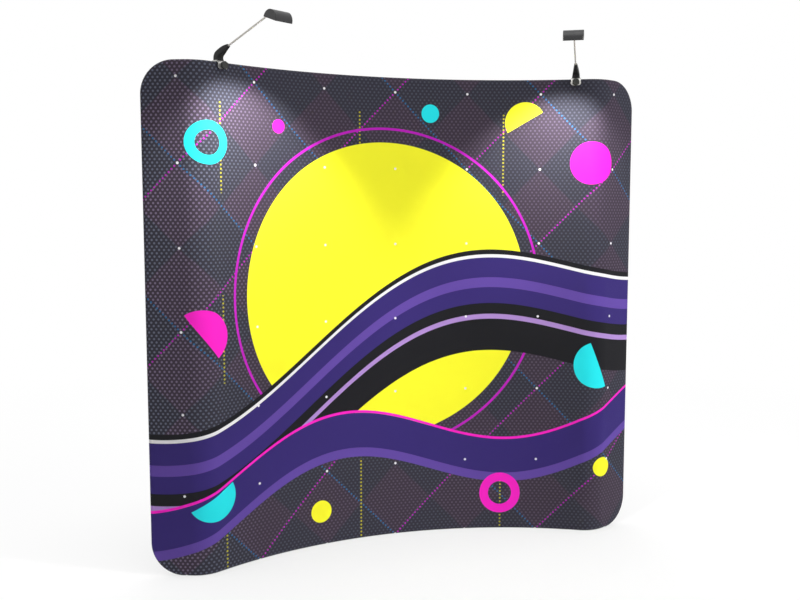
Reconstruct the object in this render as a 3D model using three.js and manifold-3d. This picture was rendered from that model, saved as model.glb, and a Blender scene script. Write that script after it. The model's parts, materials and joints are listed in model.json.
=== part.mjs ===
// Curved tension-fabric backwall: a push-fit tube frame inside a zipped stretch cover,
// with two clamp-on lights on its top rail.
// Millimetres. X runs along the wall to the viewer's right, Y away from the viewer, Z up.
// The origin is the middle of the wall's bottom edge, where it rests on the floor.

import * as THREE from 'three';
import { mergeVertices } from 'three/addons/utils/BufferGeometryUtils.js';
import Module from 'manifold-3d';

const wasm = await Module();
wasm.setup();

const rad = THREE.MathUtils.degToRad;

// ---------------------------------------------------------------- driving dimensions

// Wall, seen from above: a long concave arc whose two ends curl back.
const WALL_HEIGHT = 2280;
const ARC_RADIUS = 1834;
const ARC_HALF_ANGLE = rad(30);
const BEND_RADIUS = 130; // one die bends the end curls and the four corners
const CURL_ANGLE = rad(52.5);
const END_LEG = 169; // straight end of the plan curve; the corner lies in it

// Tubes
const TUBE_RADIUS = 16;
const TUBE_BORE = 14.5;
const SPIGOT_RADIUS = 14.2;
const SPIGOT_BORE = 12.7;
const SPIGOT_LENGTH = 60;
const SWAGE_RING = 10; // inner ring where a tube narrows to its spigot
const TUBE_SIDES = 8;
const BARREL_SIDES = 16; // of the tilt joint's barrel
const ROD_SIDES = 12; // of the arm rods and clamp pads
const PIN_SIDES = 10; // of pins, screws and the holes for them
const DOME_SIDES = 8; // of snap buttons and LEDs
const GAP = 0.3; // between pieces that touch
const TEE_HALF_RUN = 45;
const TEE_BRANCH = 60;
const RAIL_JOINT = 820; // run along the rail from its middle to its side tube

// Spring snap buttons
const BUTTON_RADIUS = 3.8;
const BUTTON_HOLE = 4.3;
const BUTTON_TIP = 19; // from the tube's centre-line
const LEAF_WIDTH = 8;
const LEAF_THICKNESS = 0.8;
const LEAF_TOP = 11.2;
const LEAF_BEND = 3;

// Cover
const FABRIC = 1.2;
const COVER_RADIUS = TUBE_RADIUS + GAP + FABRIC;
const COVER_LINING = TUBE_RADIUS + GAP;

// Zip, on the back just above the bottom rail
const ZIP_HEIGHT = 60;
const ZIP_TAPE_WIDTH = 16;
const ZIP_CHAIN_WIDTH = 3;
const ZIP_CHAIN_PROUD = 1.5;
const ZIP_SLIDER_ANGLE = rad(25);

// Lights
const LIGHT_RUN = 907; // run along the rail from its middle
const LIGHT_HEADING = rad(30.3); // from straight ahead, seen from above
const ROD_SLOPE = rad(19.3);
const ROD_RADIUS = 4;
const ROD_BORE = 2.6;
const SHADE_RADIUS = 38.3;
const SHADE_THICKNESS = 2;
const SHADE_WIDTH = 92;
const CHEEK_THICKNESS = 2.5;
const SHADE_TILT = rad(20.6);

// ---------------------------------------------------------------- colours

const ALUMINIUM = { color: 0xb9bcc0, roughness: 0.38, metalness: 0.9 };
const STEEL = { color: 0xc9cacc, roughness: 0.3, metalness: 1.0 };
const SATIN_ROD = { color: 0xaaa89b, roughness: 0.4, metalness: 0.8 };
const BLACK_PLASTIC = { color: 0x262629, roughness: 0.5, metalness: 0.0 };
const CHARCOAL_PAINT = { color: 0x3a3a3d, roughness: 0.42, metalness: 0.1 };
const GREY_PLASTIC = { color: 0x464844, roughness: 0.6, metalness: 0.0 };
const PRINTED_FABRIC = { color: 0x37303a, roughness: 0.85, metalness: 0.0 };
const PLAIN_FABRIC = { color: 0x2c2a30, roughness: 0.9, metalness: 0.0 };
const ZIP_PLASTIC = { color: 0x1b1b1d, roughness: 0.6, metalness: 0.0 };
const CLEAR_LENS = { color: 0xf4f2ea, roughness: 0.2, metalness: 0.0 };
const CIRCUIT = { color: 0xe9e7df, roughness: 0.5, metalness: 0.0 };
const RUBBER = { color: 0x1d1d1e, roughness: 0.9, metalness: 0.0 };

// ---------------------------------------------------------------- meshes and booleans

function piece(name, geometry, finish) {
  const mesh = new THREE.Mesh(geometry, new THREE.MeshStandardMaterial(finish));
  mesh.name = name;
  return mesh;
}

function solid(geometry) {
  const bare = geometry.clone();
  bare.deleteAttribute('normal');
  bare.deleteAttribute('uv');
  const merged = mergeVertices(bare);
  const mesh = new wasm.Mesh({
    numProp: 3,
    vertProperties: new Float32Array(merged.attributes.position.array),
    triVerts: new Uint32Array(merged.index.array),
  });
  return new wasm.Manifold(mesh);
}

function fromSolid(manifold) {
  const mesh = manifold.getMesh();
  const geometry = new THREE.BufferGeometry();
  geometry.setAttribute('position', new THREE.BufferAttribute(mesh.vertProperties, 3));
  geometry.setIndex(new THREE.BufferAttribute(mesh.triVerts, 1));
  geometry.computeVertexNormals();
  return geometry;
}

// Joins the first list of geometries and cuts the second list out of them.
function joinAndCut(added, cut = []) {
  let body = solid(added[0]);
  for (const geometry of added.slice(1)) {
    body = body.add(solid(geometry));
  }
  for (const geometry of cut) {
    body = body.subtract(solid(geometry));
  }
  return fromSolid(body);
}

// ---------------------------------------------------------------- the wall's edge line

const ARC_LENGTH = ARC_RADIUS * ARC_HALF_ANGLE;
const CURL_LENGTH = BEND_RADIUS * CURL_ANGLE;
const END_HEADING = CURL_ANGLE - ARC_HALF_ANGLE;
const CORNER_START = ARC_LENGTH + CURL_LENGTH + END_LEG - BEND_RADIUS;
const CORNER_END = CORNER_START + (BEND_RADIUS * Math.PI) / 2;
const MID_HEIGHT = WALL_HEIGHT / 2;
const TOP_LINE = WALL_HEIGHT - COVER_RADIUS;
const SIDE_END = CORNER_END + TOP_LINE - BEND_RADIUS - MID_HEIGHT;

const headingVector = (heading) => new THREE.Vector3(Math.cos(heading), Math.sin(heading), 0);
const frontVector = (heading) => new THREE.Vector3(Math.sin(heading), -Math.cos(heading), 0);

// Point of an arc that starts at a heading and turns left on the given radius.
function arcPoint(start, radius, from, to) {
  const x = start.x + radius * (Math.sin(to) - Math.sin(from));
  const y = start.y - radius * (Math.cos(to) - Math.cos(from));
  return new THREE.Vector3(x, y, start.z);
}

const RAIL_MIDDLE = new THREE.Vector3(0, 0, TOP_LINE);
const CURL_POINT = arcPoint(RAIL_MIDDLE, -ARC_RADIUS, 0, -ARC_HALF_ANGLE);
const LEG_POINT = arcPoint(CURL_POINT, BEND_RADIUS, -ARC_HALF_ANGLE, END_HEADING);
const CORNER_POINT = LEG_POINT.clone().addScaledVector(headingVector(END_HEADING), END_LEG - BEND_RADIUS);

// The plan curve's heading and place, at a run from the wall's middle.
function planPlace(run) {
  if (run <= ARC_LENGTH) {
    const heading = -run / ARC_RADIUS;
    return { heading, point: arcPoint(RAIL_MIDDLE, -ARC_RADIUS, 0, heading) };
  }
  if (run <= ARC_LENGTH + CURL_LENGTH) {
    const heading = (run - ARC_LENGTH) / BEND_RADIUS - ARC_HALF_ANGLE;
    return { heading, point: arcPoint(CURL_POINT, BEND_RADIUS, -ARC_HALF_ANGLE, heading) };
  }
  const past = run - ARC_LENGTH - CURL_LENGTH;
  const point = LEG_POINT.clone().addScaledVector(headingVector(END_HEADING), past);
  return { heading: END_HEADING, point };
}

// A station of the edge line, at its run from the middle of the top rail through the right
// upper corner and down the side. Out points away from the wall's face, front to the viewer.
function exactStation(run) {
  if (run <= CORNER_START) {
    const { heading, point } = planPlace(run);
    return {
      point,
      along: headingVector(heading),
      out: new THREE.Vector3(0, 0, 1),
      front: frontVector(heading),
    };
  }
  const turn = Math.min((run - CORNER_START) / BEND_RADIUS, Math.PI / 2);
  const sideways = headingVector(END_HEADING);
  const point = CORNER_POINT.clone().addScaledVector(sideways, BEND_RADIUS * Math.sin(turn));
  point.z -= BEND_RADIUS * (1 - Math.cos(turn)) + Math.max(run - CORNER_END, 0);
  const along = sideways.clone().multiplyScalar(Math.cos(turn));
  along.z = -Math.sin(turn);
  const out = sideways.clone().multiplyScalar(Math.sin(turn));
  out.z = Math.cos(turn);
  return { point, along, out, front: frontVector(END_HEADING) };
}

function evenRuns(from, to, steps) {
  return Array.from({ length: steps }, (_, i) => from + ((to - from) * (i + 1)) / steps);
}

// Tubes and cover bend at the same runs, so that the gap between them stays even.
const ARC_STEPS = 6;
const CURL_STEPS = 5;
const CORNER_STEPS = 6;
const BEND_RUNS = [
  TEE_HALF_RUN,
  TEE_HALF_RUN + SPIGOT_LENGTH,
  ...evenRuns(TEE_HALF_RUN + SPIGOT_LENGTH, RAIL_JOINT, ARC_STEPS),
  RAIL_JOINT + SPIGOT_LENGTH,
  ARC_LENGTH,
  ...evenRuns(ARC_LENGTH, ARC_LENGTH + CURL_LENGTH, CURL_STEPS),
  CORNER_START,
  ...evenRuns(CORNER_START, CORNER_END, CORNER_STEPS),
];

function mixStations(a, b, share) {
  const mixed = {};
  for (const key of ['point', 'along', 'out', 'front']) {
    mixed[key] = a[key].clone().lerp(b[key], share);
  }
  return mixed;
}

function mirrored(station, side, level) {
  const flip = (vector) => new THREE.Vector3(side * vector.x, vector.y, level * vector.z);
  const point = flip(station.point);
  point.z = MID_HEIGHT + level * (station.point.z - MID_HEIGHT);
  const { along, out, front } = station;
  return { point, along: flip(along), out: flip(out), front: flip(front) };
}

// A station on the straight stretch between two bends. Side is 1 for the right half and -1
// for the left, level 1 for the upper half and -1 for the lower.
function stationAt(run, side = 1, level = 1) {
  if (run <= TEE_HALF_RUN) {
    const edge = exactStation(TEE_HALF_RUN);
    const share = (run + TEE_HALF_RUN) / (2 * TEE_HALF_RUN);
    const inner = mirrored(edge, -1, 1);
    inner.along.negate();
    return mirrored(mixStations(inner, edge, share), side, level);
  }
  const last = BEND_RUNS.findIndex((bend) => bend >= run);
  if (last < 0) {
    return mirrored(exactStation(run), side, level);
  }
  const [from, to] = [BEND_RUNS[last - 1], BEND_RUNS[last]];
  const share = (run - from) / (to - from);
  return mirrored(mixStations(exactStation(from), exactStation(to), share), side, level);
}

// Stations from one run to another, with each bend between them.
function stretch(from, to, side, level) {
  const bends = BEND_RUNS.filter((run) => run > from && run < to);
  return [from, ...bends, to].map((run) => stationAt(run, side, level));
}

// Stations along the whole wall at one height, from the left run to the right run.
function levelStretch(reach, height) {
  const right = [...BEND_RUNS.filter((run) => run < reach), reach];
  const left = [...right].reverse().map((run) => {
    const station = stationAt(run, -1, 1);
    station.along.negate();
    return station;
  });
  const stations = [...left, ...right.map((run) => stationAt(run, 1, 1))];
  for (const station of stations) {
    station.point.z = height;
  }
  return stations;
}

// ---------------------------------------------------------------- sweeps along the edge line

// A route that an extrusion follows station by station. The section's x and y go to the
// outward and front directions, swapped where that keeps the faces pointing out.
class EdgeRoute extends THREE.Curve {
  constructor(stations) {
    super();
    this.stations = stations;
  }

  getPoint(share, target = new THREE.Vector3()) {
    const place = share * (this.stations.length - 1);
    const first = Math.min(Math.floor(place), this.stations.length - 2);
    const from = this.stations[first].point;
    const to = this.stations[first + 1].point;
    return target.copy(from).lerp(to, place - first);
  }

  getSpacedPoints() {
    return this.stations.map(({ point }) => point.clone());
  }

  computeFrenetFrames() {
    const { along, out, front } = this.stations[0];
    const rightHanded = out.clone().cross(front).dot(along) > 0;
    const outs = this.stations.map((station) => station.out);
    const fronts = this.stations.map((station) => station.front);
    return {
      tangents: this.stations.map((station) => station.along),
      normals: rightHanded ? outs : fronts,
      binormals: rightHanded ? fronts : outs,
    };
  }
}

function sweep(stations, section) {
  return new THREE.ExtrudeGeometry(section, {
    steps: stations.length - 1,
    extrudePath: new EdgeRoute(stations),
  });
}

// Corners of a regular polygon around a circle of this radius, with a flat side at the front.
function roundCorners(radius) {
  const reach = radius / Math.cos(Math.PI / TUBE_SIDES);
  return Array.from({ length: TUBE_SIDES }, (_, i) => {
    const angle = ((i + 0.5) * 2 * Math.PI) / TUBE_SIDES;
    return new THREE.Vector2(reach * Math.cos(angle), reach * Math.sin(angle));
  });
}

function roundBar(stations, radius) {
  return sweep(stations, new THREE.Shape(roundCorners(radius)));
}

// A hole for a snap button, from inside the bore out through the tube's inner side.
function buttonHole(station) {
  const depth = TUBE_RADIUS;
  const geometry = new THREE.CylinderGeometry(BUTTON_HOLE, BUTTON_HOLE, depth, PIN_SIDES);
  const inward = station.out.clone().normalize().negate();
  const turn = new THREE.Quaternion().setFromUnitVectors(new THREE.Vector3(0, 1, 0), inward);
  geometry.applyQuaternion(turn);
  const centre = station.point.clone().addScaledVector(inward, SPIGOT_BORE / 2 + depth / 2);
  return geometry.translate(centre.x, centre.y, centre.z);
}

// ---------------------------------------------------------------- frame tubes

const HALF_SPIGOT = SPIGOT_LENGTH / 2;
const CUT_PAST = 5; // how far a cutting bar runs past the end it opens
const FUSE = 0.2; // how far joined shapes run into each other

// Curved rail from the tee to the side tube, swaged down to a spigot at its outer end.
function railTube(side, level) {
  const start = TEE_HALF_RUN + GAP;
  const swage = RAIL_JOINT - SWAGE_RING;
  const end = RAIL_JOINT + SPIGOT_LENGTH;
  return joinAndCut(
    [
      roundBar(stretch(start, RAIL_JOINT, side, level), TUBE_RADIUS),
      roundBar(stretch(swage, end, side, level), SPIGOT_RADIUS),
    ],
    [
      roundBar(stretch(start - CUT_PAST, swage, side, level), TUBE_BORE),
      roundBar(stretch(swage - CUT_PAST, end + CUT_PAST, side, level), SPIGOT_BORE),
      buttonHole(stationAt(TEE_HALF_RUN + HALF_SPIGOT, side, level)),
      buttonHole(stationAt(RAIL_JOINT + HALF_SPIGOT, side, level)),
    ],
  );
}

// Side tube from the rail round the end curl and the corner to mid height.
function upperSideTube(side) {
  const start = RAIL_JOINT + GAP;
  const end = SIDE_END - GAP;
  return joinAndCut(
    [roundBar(stretch(start, end, side, 1), TUBE_RADIUS)],
    [
      roundBar(stretch(start - CUT_PAST, end + CUT_PAST, side, 1), TUBE_BORE),
      buttonHole(stationAt(RAIL_JOINT + HALF_SPIGOT, side, 1)),
      buttonHole(stationAt(SIDE_END - HALF_SPIGOT, side, 1)),
    ],
  );
}

function lowerSideTube(side) {
  const start = RAIL_JOINT + GAP;
  const swage = SIDE_END - SWAGE_RING;
  const end = SIDE_END + SPIGOT_LENGTH;
  return joinAndCut(
    [
      roundBar(stretch(start, SIDE_END, side, -1), TUBE_RADIUS),
      roundBar(stretch(swage, end, side, -1), SPIGOT_RADIUS),
    ],
    [
      roundBar(stretch(start - CUT_PAST, swage, side, -1), TUBE_BORE),
      roundBar(stretch(swage - CUT_PAST, end + CUT_PAST, side, -1), SPIGOT_BORE),
      buttonHole(stationAt(RAIL_JOINT + HALF_SPIGOT, side, -1)),
      buttonHole(stationAt(SIDE_END + HALF_SPIGOT, side, -1)),
    ],
  );
}

// The centre pole stands on the rail's middle facet; its stations point the buttons to +X.
const POLE_DEPTH = stationAt(0).point.y;

function poleStation(height) {
  return {
    point: new THREE.Vector3(0, POLE_DEPTH, height),
    along: new THREE.Vector3(0, 0, 1),
    out: new THREE.Vector3(-1, 0, 0),
    front: new THREE.Vector3(0, -1, 0),
  };
}

function uprightBar(from, to, radius) {
  return roundBar([poleStation(from), poleStation(to)], radius);
}

const TOP_POLE_END = TOP_LINE - TEE_BRANCH;
const BOTTOM_POLE_END = COVER_RADIUS + TEE_BRANCH;

function upperCentrePole() {
  const foot = MID_HEIGHT + GAP;
  const head = TOP_POLE_END - GAP;
  return joinAndCut(
    [uprightBar(foot, head, TUBE_RADIUS)],
    [
      uprightBar(foot - CUT_PAST, head + CUT_PAST, TUBE_BORE),
      buttonHole(poleStation(MID_HEIGHT + HALF_SPIGOT)),
      buttonHole(poleStation(TOP_POLE_END - HALF_SPIGOT)),
    ],
  );
}

function lowerCentrePole() {
  const foot = BOTTOM_POLE_END + GAP;
  const swage = MID_HEIGHT - SWAGE_RING;
  const head = MID_HEIGHT + SPIGOT_LENGTH;
  return joinAndCut(
    [uprightBar(foot, MID_HEIGHT, TUBE_RADIUS), uprightBar(swage, head, SPIGOT_RADIUS)],
    [
      uprightBar(foot - CUT_PAST, swage, TUBE_BORE),
      uprightBar(swage - CUT_PAST, head + CUT_PAST, SPIGOT_BORE),
      buttonHole(poleStation(MID_HEIGHT + HALF_SPIGOT)),
      buttonHole(poleStation(BOTTOM_POLE_END + HALF_SPIGOT)),
    ],
  );
}

// Tee that joins the two rails and carries the centre pole; level 1 is the top one.
function tee(level) {
  const railHeight = level > 0 ? TOP_LINE : COVER_RADIUS;
  const branchEnd = railHeight - level * TEE_BRANCH;
  const spigotEnd = branchEnd - level * SPIGOT_LENGTH;
  const reach = TEE_HALF_RUN + SPIGOT_LENGTH;
  const upright = (from, to, radius) => uprightBar(Math.min(from, to), Math.max(from, to), radius);
  const runHoles = [1, -1].map((side) => buttonHole(stationAt(TEE_HALF_RUN + HALF_SPIGOT, side, level)));
  return joinAndCut(
    [
      roundBar(levelStretch(TEE_HALF_RUN, railHeight), TUBE_RADIUS),
      roundBar(levelStretch(reach, railHeight), SPIGOT_RADIUS),
      upright(railHeight, branchEnd, TUBE_RADIUS),
      upright(railHeight, spigotEnd, SPIGOT_RADIUS),
    ],
    [
      roundBar(levelStretch(reach + CUT_PAST, railHeight), SPIGOT_BORE),
      upright(railHeight, spigotEnd - level * CUT_PAST, SPIGOT_BORE),
      ...runHoles,
      buttonHole(poleStation(branchEnd - level * HALF_SPIGOT)),
    ],
  );
}

// ---------------------------------------------------------------- spring snap buttons

// A domed button on a leaf that hooks back under itself. X runs along the tube and Z
// points through the hole, both from the tube's centre-line.
function snapButtonGeometry() {
  const leafEnd = 16;
  const hookStart = -12;
  const hookReturn = 10;
  const hookSteps = 3;
  const shoulder = BUTTON_TIP - 1.6;
  const crown = BUTTON_TIP - 0.3;
  const crownRadius = BUTTON_RADIUS * 0.66;
  const low = LEAF_TOP - LEAF_THICKNESS;
  const bendCentre = low - LEAF_BEND;
  const hook = new THREE.Shape();
  hook.moveTo(leafEnd, low);
  hook.lineTo(leafEnd, LEAF_TOP);
  hook.lineTo(hookStart, LEAF_TOP);
  hook.absarc(hookStart, bendCentre, LEAF_BEND + LEAF_THICKNESS, Math.PI / 2, (3 * Math.PI) / 2, false);
  hook.lineTo(hookStart + hookReturn, bendCentre - LEAF_BEND - LEAF_THICKNESS);
  hook.lineTo(hookStart + hookReturn, bendCentre - LEAF_BEND);
  hook.lineTo(hookStart, bendCentre - LEAF_BEND);
  hook.absarc(hookStart, bendCentre, LEAF_BEND, (3 * Math.PI) / 2, Math.PI / 2, true);
  const leaf = new THREE.ExtrudeGeometry(hook, {
    depth: LEAF_WIDTH,
    bevelEnabled: false,
    curveSegments: hookSteps,
  });
  leaf.rotateX(Math.PI / 2).translate(0, LEAF_WIDTH / 2, 0);
  const profile = [
    new THREE.Vector2(0, low + LEAF_THICKNESS / 2),
    new THREE.Vector2(BUTTON_RADIUS, low + LEAF_THICKNESS / 2),
    new THREE.Vector2(BUTTON_RADIUS, shoulder),
    new THREE.Vector2(crownRadius, crown),
    new THREE.Vector2(0, BUTTON_TIP),
  ];
  const button = new THREE.LatheGeometry(profile, DOME_SIDES).rotateX(Math.PI / 2);
  return joinAndCut([leaf, button]);
}

function snapButton(name, geometry, station) {
  const along = station.along.clone().normalize();
  const inward = station.out.clone().normalize().negate();
  const across = inward.clone().cross(along).normalize();
  const mesh = piece(name, geometry, STEEL);
  mesh.position.copy(station.point);
  mesh.quaternion.setFromRotationMatrix(new THREE.Matrix4().makeBasis(along, across, inward));
  return mesh;
}

// ---------------------------------------------------------------- cover

// Stations all the way round the wall's edge: left side to right side along the top, and the
// same along the bottom.
function coverEdges() {
  const half = (side, level) => BEND_RUNS.map((run) => stationAt(run, side, level));
  const across = (level) => [...half(-1, level).reverse(), ...half(1, level)];
  return { top: across(1), bottom: across(-1) };
}

// A corner of the cover's rim polygon, at an angle from the front towards the outside.
function rimPoint(station, radius, degrees) {
  const reach = radius / Math.cos(Math.PI / TUBE_SIDES);
  return station.point
    .clone()
    .addScaledVector(station.front, reach * Math.cos(rad(degrees)))
    .addScaledVector(station.out, reach * Math.sin(rad(degrees)));
}

// One panel of the cover: a flat-ruled face that wraps round the tubes at its edge, as a
// closed skin with an outer and an inner sheet. Bends are the wrap's polygon corners from
// the face outwards; the last one is the seam, moved back by the seam gap.
function coverPanel(bends, seamGap) {
  const { top, bottom } = coverEdges();
  const loop = [...top, ...[...bottom].reverse()];
  const positions = [];
  const faces = [];
  const bendCount = bends.length;

  const seamPoint = (station, radius) => {
    const seam = rimPoint(station, radius, bends[bendCount - 1]);
    const before = rimPoint(station, radius, bends[bendCount - 2]);
    return seam.lerp(before, seamGap / seam.distanceTo(before));
  };
  const addSheet = (radius) => {
    const first = positions.length / 3;
    for (const station of loop) {
      for (const degrees of bends.slice(0, -1)) {
        positions.push(...rimPoint(station, radius, degrees).toArray());
      }
      positions.push(...seamPoint(station, radius).toArray());
    }
    return first;
  };
  const corner = (first, place, bend) => first + (place % loop.length) * bendCount + bend;
  const addQuad = (a, b, c, d, outer) => {
    const quad = outer ? [a, b, c, a, c, d] : [a, c, b, a, d, c];
    faces.push(...quad);
  };

  const skins = [COVER_RADIUS, COVER_LINING].map(addSheet);
  const facesFront = bends[0] < 90;
  skins.forEach((first, skin) => {
    const outer = (skin === 0) === facesFront;
    for (let place = 0; place < loop.length; place += 1) {
      for (let bend = 0; bend < bendCount - 1; bend += 1) {
        const near = [corner(first, place, bend), corner(first, place, bend + 1)];
        const far = [corner(first, place + 1, bend), corner(first, place + 1, bend + 1)];
        addQuad(near[0], far[0], far[1], near[1], outer);
      }
    }
    for (let place = 0; place < top.length - 1; place += 1) {
      const below = loop.length - 1 - place;
      const upper = [corner(first, place, 0), corner(first, place + 1, 0)];
      const lower = [corner(first, below, 0), corner(first, below - 1, 0)];
      addQuad(lower[0], lower[1], upper[1], upper[0], outer);
    }
  });
  const seam = bendCount - 1;
  for (let place = 0; place < loop.length; place += 1) {
    const outside = [corner(skins[0], place, seam), corner(skins[0], place + 1, seam)];
    const inside = [corner(skins[1], place, seam), corner(skins[1], place + 1, seam)];
    addQuad(outside[0], outside[1], inside[1], inside[0], facesFront);
  }
  const geometry = new THREE.BufferGeometry();
  geometry.setAttribute('position', new THREE.Float32BufferAttribute(positions, 3));
  geometry.setIndex(faces);
  geometry.computeVertexNormals();
  return geometry;
}

// The front panel wraps to the far end of the flat the wall stands on; the back meets it there.
const RIM_STEP = 360 / TUBE_SIDES;
const FLATS_TO_FLOOR = 90 / RIM_STEP;
const frontBend = (place) => (place + 0.5) * RIM_STEP;
const FRONT_BENDS = Array.from({ length: FLATS_TO_FLOOR + 1 }, (_, place) => frontBend(place));
const BACK_BENDS = Array.from({ length: FLATS_TO_FLOOR }, (_, place) => 180 - frontBend(place));

const frontPanel = () => coverPanel(FRONT_BENDS, 0);

function backPanel() {
  const slotDepth = 4 * FABRIC;
  const slotTop = ZIP_TAPE_WIDTH / 2;
  const slot = new THREE.Shape([
    new THREE.Vector2(-slotTop, -COVER_LINING + slotDepth),
    new THREE.Vector2(-slotTop, -COVER_RADIUS - slotDepth),
    new THREE.Vector2(slotTop, -COVER_RADIUS - slotDepth),
    new THREE.Vector2(slotTop, -COVER_LINING + slotDepth),
  ]);
  const cut = sweep(levelStretch(RAIL_JOINT, ZIP_HEIGHT), slot);
  return joinAndCut([coverPanel(BACK_BENDS, GAP)], [cut]);
}

// Zip tape with its chain standing proud along the middle.
function zipChain() {
  const half = ZIP_TAPE_WIDTH / 2 - GAP;
  const chain = ZIP_CHAIN_WIDTH / 2;
  const proud = -COVER_RADIUS - ZIP_CHAIN_PROUD;
  const section = new THREE.Shape([
    new THREE.Vector2(half, -COVER_LINING),
    new THREE.Vector2(-half, -COVER_LINING),
    new THREE.Vector2(-half, -COVER_RADIUS),
    new THREE.Vector2(-chain, -COVER_RADIUS),
    new THREE.Vector2(-chain, proud),
    new THREE.Vector2(chain, proud),
    new THREE.Vector2(chain, -COVER_RADIUS),
    new THREE.Vector2(half, -COVER_RADIUS),
  ]);
  return sweep(levelStretch(RAIL_JOINT - GAP, ZIP_HEIGHT), section);
}

// Slider and pull, built at the zip's own radius: X along the zip, Y away from the cover,
// Z up, with Y = 0 at the tube's centre-line.
const SLIDER_LENGTH = 16;
const SLIDER_HALF_HEIGHT = 5;
const SLIDER_THICKNESS = 3.6; // above the chain
const SLIDER_BACK = COVER_RADIUS + ZIP_CHAIN_PROUD + SLIDER_THICKNESS;
const BRIDGE_RISE = 2.6;
const BRIDGE_PIN = SLIDER_BACK + BRIDGE_RISE;
const BRIDGE_PIN_RADIUS = 1;
const BRIDGE_HALF_SPAN = 5;
const SMALL_ARC_STEPS = 5;

// A shape in the Y-Z plane, extruded along X about its middle.
function alongX(shape, width, options = {}) {
  const geometry = new THREE.ExtrudeGeometry(shape, { depth: width, bevelEnabled: false, ...options });
  geometry.translate(0, 0, -width / 2);
  const basis = new THREE.Matrix4().makeBasis(
    new THREE.Vector3(0, 1, 0),
    new THREE.Vector3(0, 0, 1),
    new THREE.Vector3(1, 0, 0),
  );
  return geometry.applyMatrix4(basis);
}

function pinAlongX(radius, length, sides = PIN_SIDES) {
  return new THREE.CylinderGeometry(radius, radius, length, sides).rotateZ(Math.PI / 2);
}

function zipSlider() {
  const channel = ZIP_CHAIN_WIDTH / 2 + GAP;
  const skirt = COVER_RADIUS + GAP;
  const roof = COVER_RADIUS + ZIP_CHAIN_PROUD + GAP;
  const chamfer = 1.2;
  const body = new THREE.Shape([
    new THREE.Vector2(skirt, -SLIDER_HALF_HEIGHT),
    new THREE.Vector2(SLIDER_BACK - chamfer, -SLIDER_HALF_HEIGHT),
    new THREE.Vector2(SLIDER_BACK, -SLIDER_HALF_HEIGHT + chamfer),
    new THREE.Vector2(SLIDER_BACK, SLIDER_HALF_HEIGHT - chamfer),
    new THREE.Vector2(SLIDER_BACK - chamfer, SLIDER_HALF_HEIGHT),
    new THREE.Vector2(skirt, SLIDER_HALF_HEIGHT),
    new THREE.Vector2(skirt, channel),
    new THREE.Vector2(roof, channel),
    new THREE.Vector2(roof, -channel),
    new THREE.Vector2(skirt, -channel),
  ]);
  const earWidth = 1.6;
  const earFoot = SLIDER_BACK - 1;
  const earFootHalf = 2.4;
  const earRound = 1.8;
  const ear = new THREE.Shape();
  ear.moveTo(earFoot, -earFootHalf);
  ear.lineTo(BRIDGE_PIN, -earRound);
  ear.absarc(BRIDGE_PIN, 0, earRound, -Math.PI / 2, Math.PI / 2, false);
  ear.lineTo(earFoot, earFootHalf);
  const earMiddle = BRIDGE_HALF_SPAN + earWidth / 2;
  const ears = [1, -1].map((end) =>
    alongX(ear, earWidth, { curveSegments: SMALL_ARC_STEPS }).translate(end * earMiddle, 0, 0),
  );
  const pin = pinAlongX(BRIDGE_PIN_RADIUS, 2 * BRIDGE_HALF_SPAN + earWidth).translate(0, BRIDGE_PIN, 0);
  return joinAndCut([alongX(body, SLIDER_LENGTH), ...ears, pin]);
}

// The pull hangs from the bridge pin by a rolled eye; its origin is the pin.
function zipPull() {
  const eye = new THREE.Shape();
  const eyeRadius = 2.1;
  const eyeWidth = 2 * (BRIDGE_HALF_SPAN - GAP) - 1;
  const halfThickness = 0.6;
  const halfWidth = 4;
  const bladeHead = 0.4 - eyeRadius;
  const tipCentre = -22;
  const holeCentre = -20;
  const holeHalfWidth = 1.8;
  const holeHalfLength = 2.6;
  const arcSteps = 6;
  eye.absarc(0, 0, eyeRadius, 0, 2 * Math.PI, false);
  eye.holes.push(new THREE.Path().absarc(0, 0, BRIDGE_PIN_RADIUS + GAP, 0, 2 * Math.PI, true));
  const roll = alongX(eye, eyeWidth, { curveSegments: arcSteps });
  const blade = new THREE.Shape();
  blade.moveTo(-halfWidth, bladeHead);
  blade.lineTo(-halfWidth, tipCentre);
  blade.absarc(0, tipCentre, halfWidth, Math.PI, 2 * Math.PI, false);
  blade.lineTo(halfWidth, bladeHead);
  const hole = new THREE.Path();
  hole.absellipse(0, holeCentre, holeHalfWidth, holeHalfLength, 0, 2 * Math.PI, true);
  blade.holes.push(hole);
  const flat = new THREE.ExtrudeGeometry(blade, {
    depth: 2 * halfThickness,
    bevelEnabled: false,
    curveSegments: arcSteps,
  });
  flat.rotateX(Math.PI / 2).translate(0, halfThickness, 0);
  return joinAndCut([roll, flat]);
}

function zip() {
  const turnedArc = new THREE.Group();
  turnedArc.position.set(0, -ARC_RADIUS, ZIP_HEIGHT);
  turnedArc.rotation.z = -ZIP_SLIDER_ANGLE;
  const slider = piece('zip_slider', zipSlider(), STEEL);
  slider.position.y = ARC_RADIUS;
  const pull = piece('zip_pull', zipPull(), STEEL);
  pull.position.y = ARC_RADIUS + BRIDGE_PIN;
  turnedArc.add(slider, pull);
  return [piece('zip_chain', zipChain(), ZIP_PLASTIC), turnedArc];
}

// ---------------------------------------------------------------- lights

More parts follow.
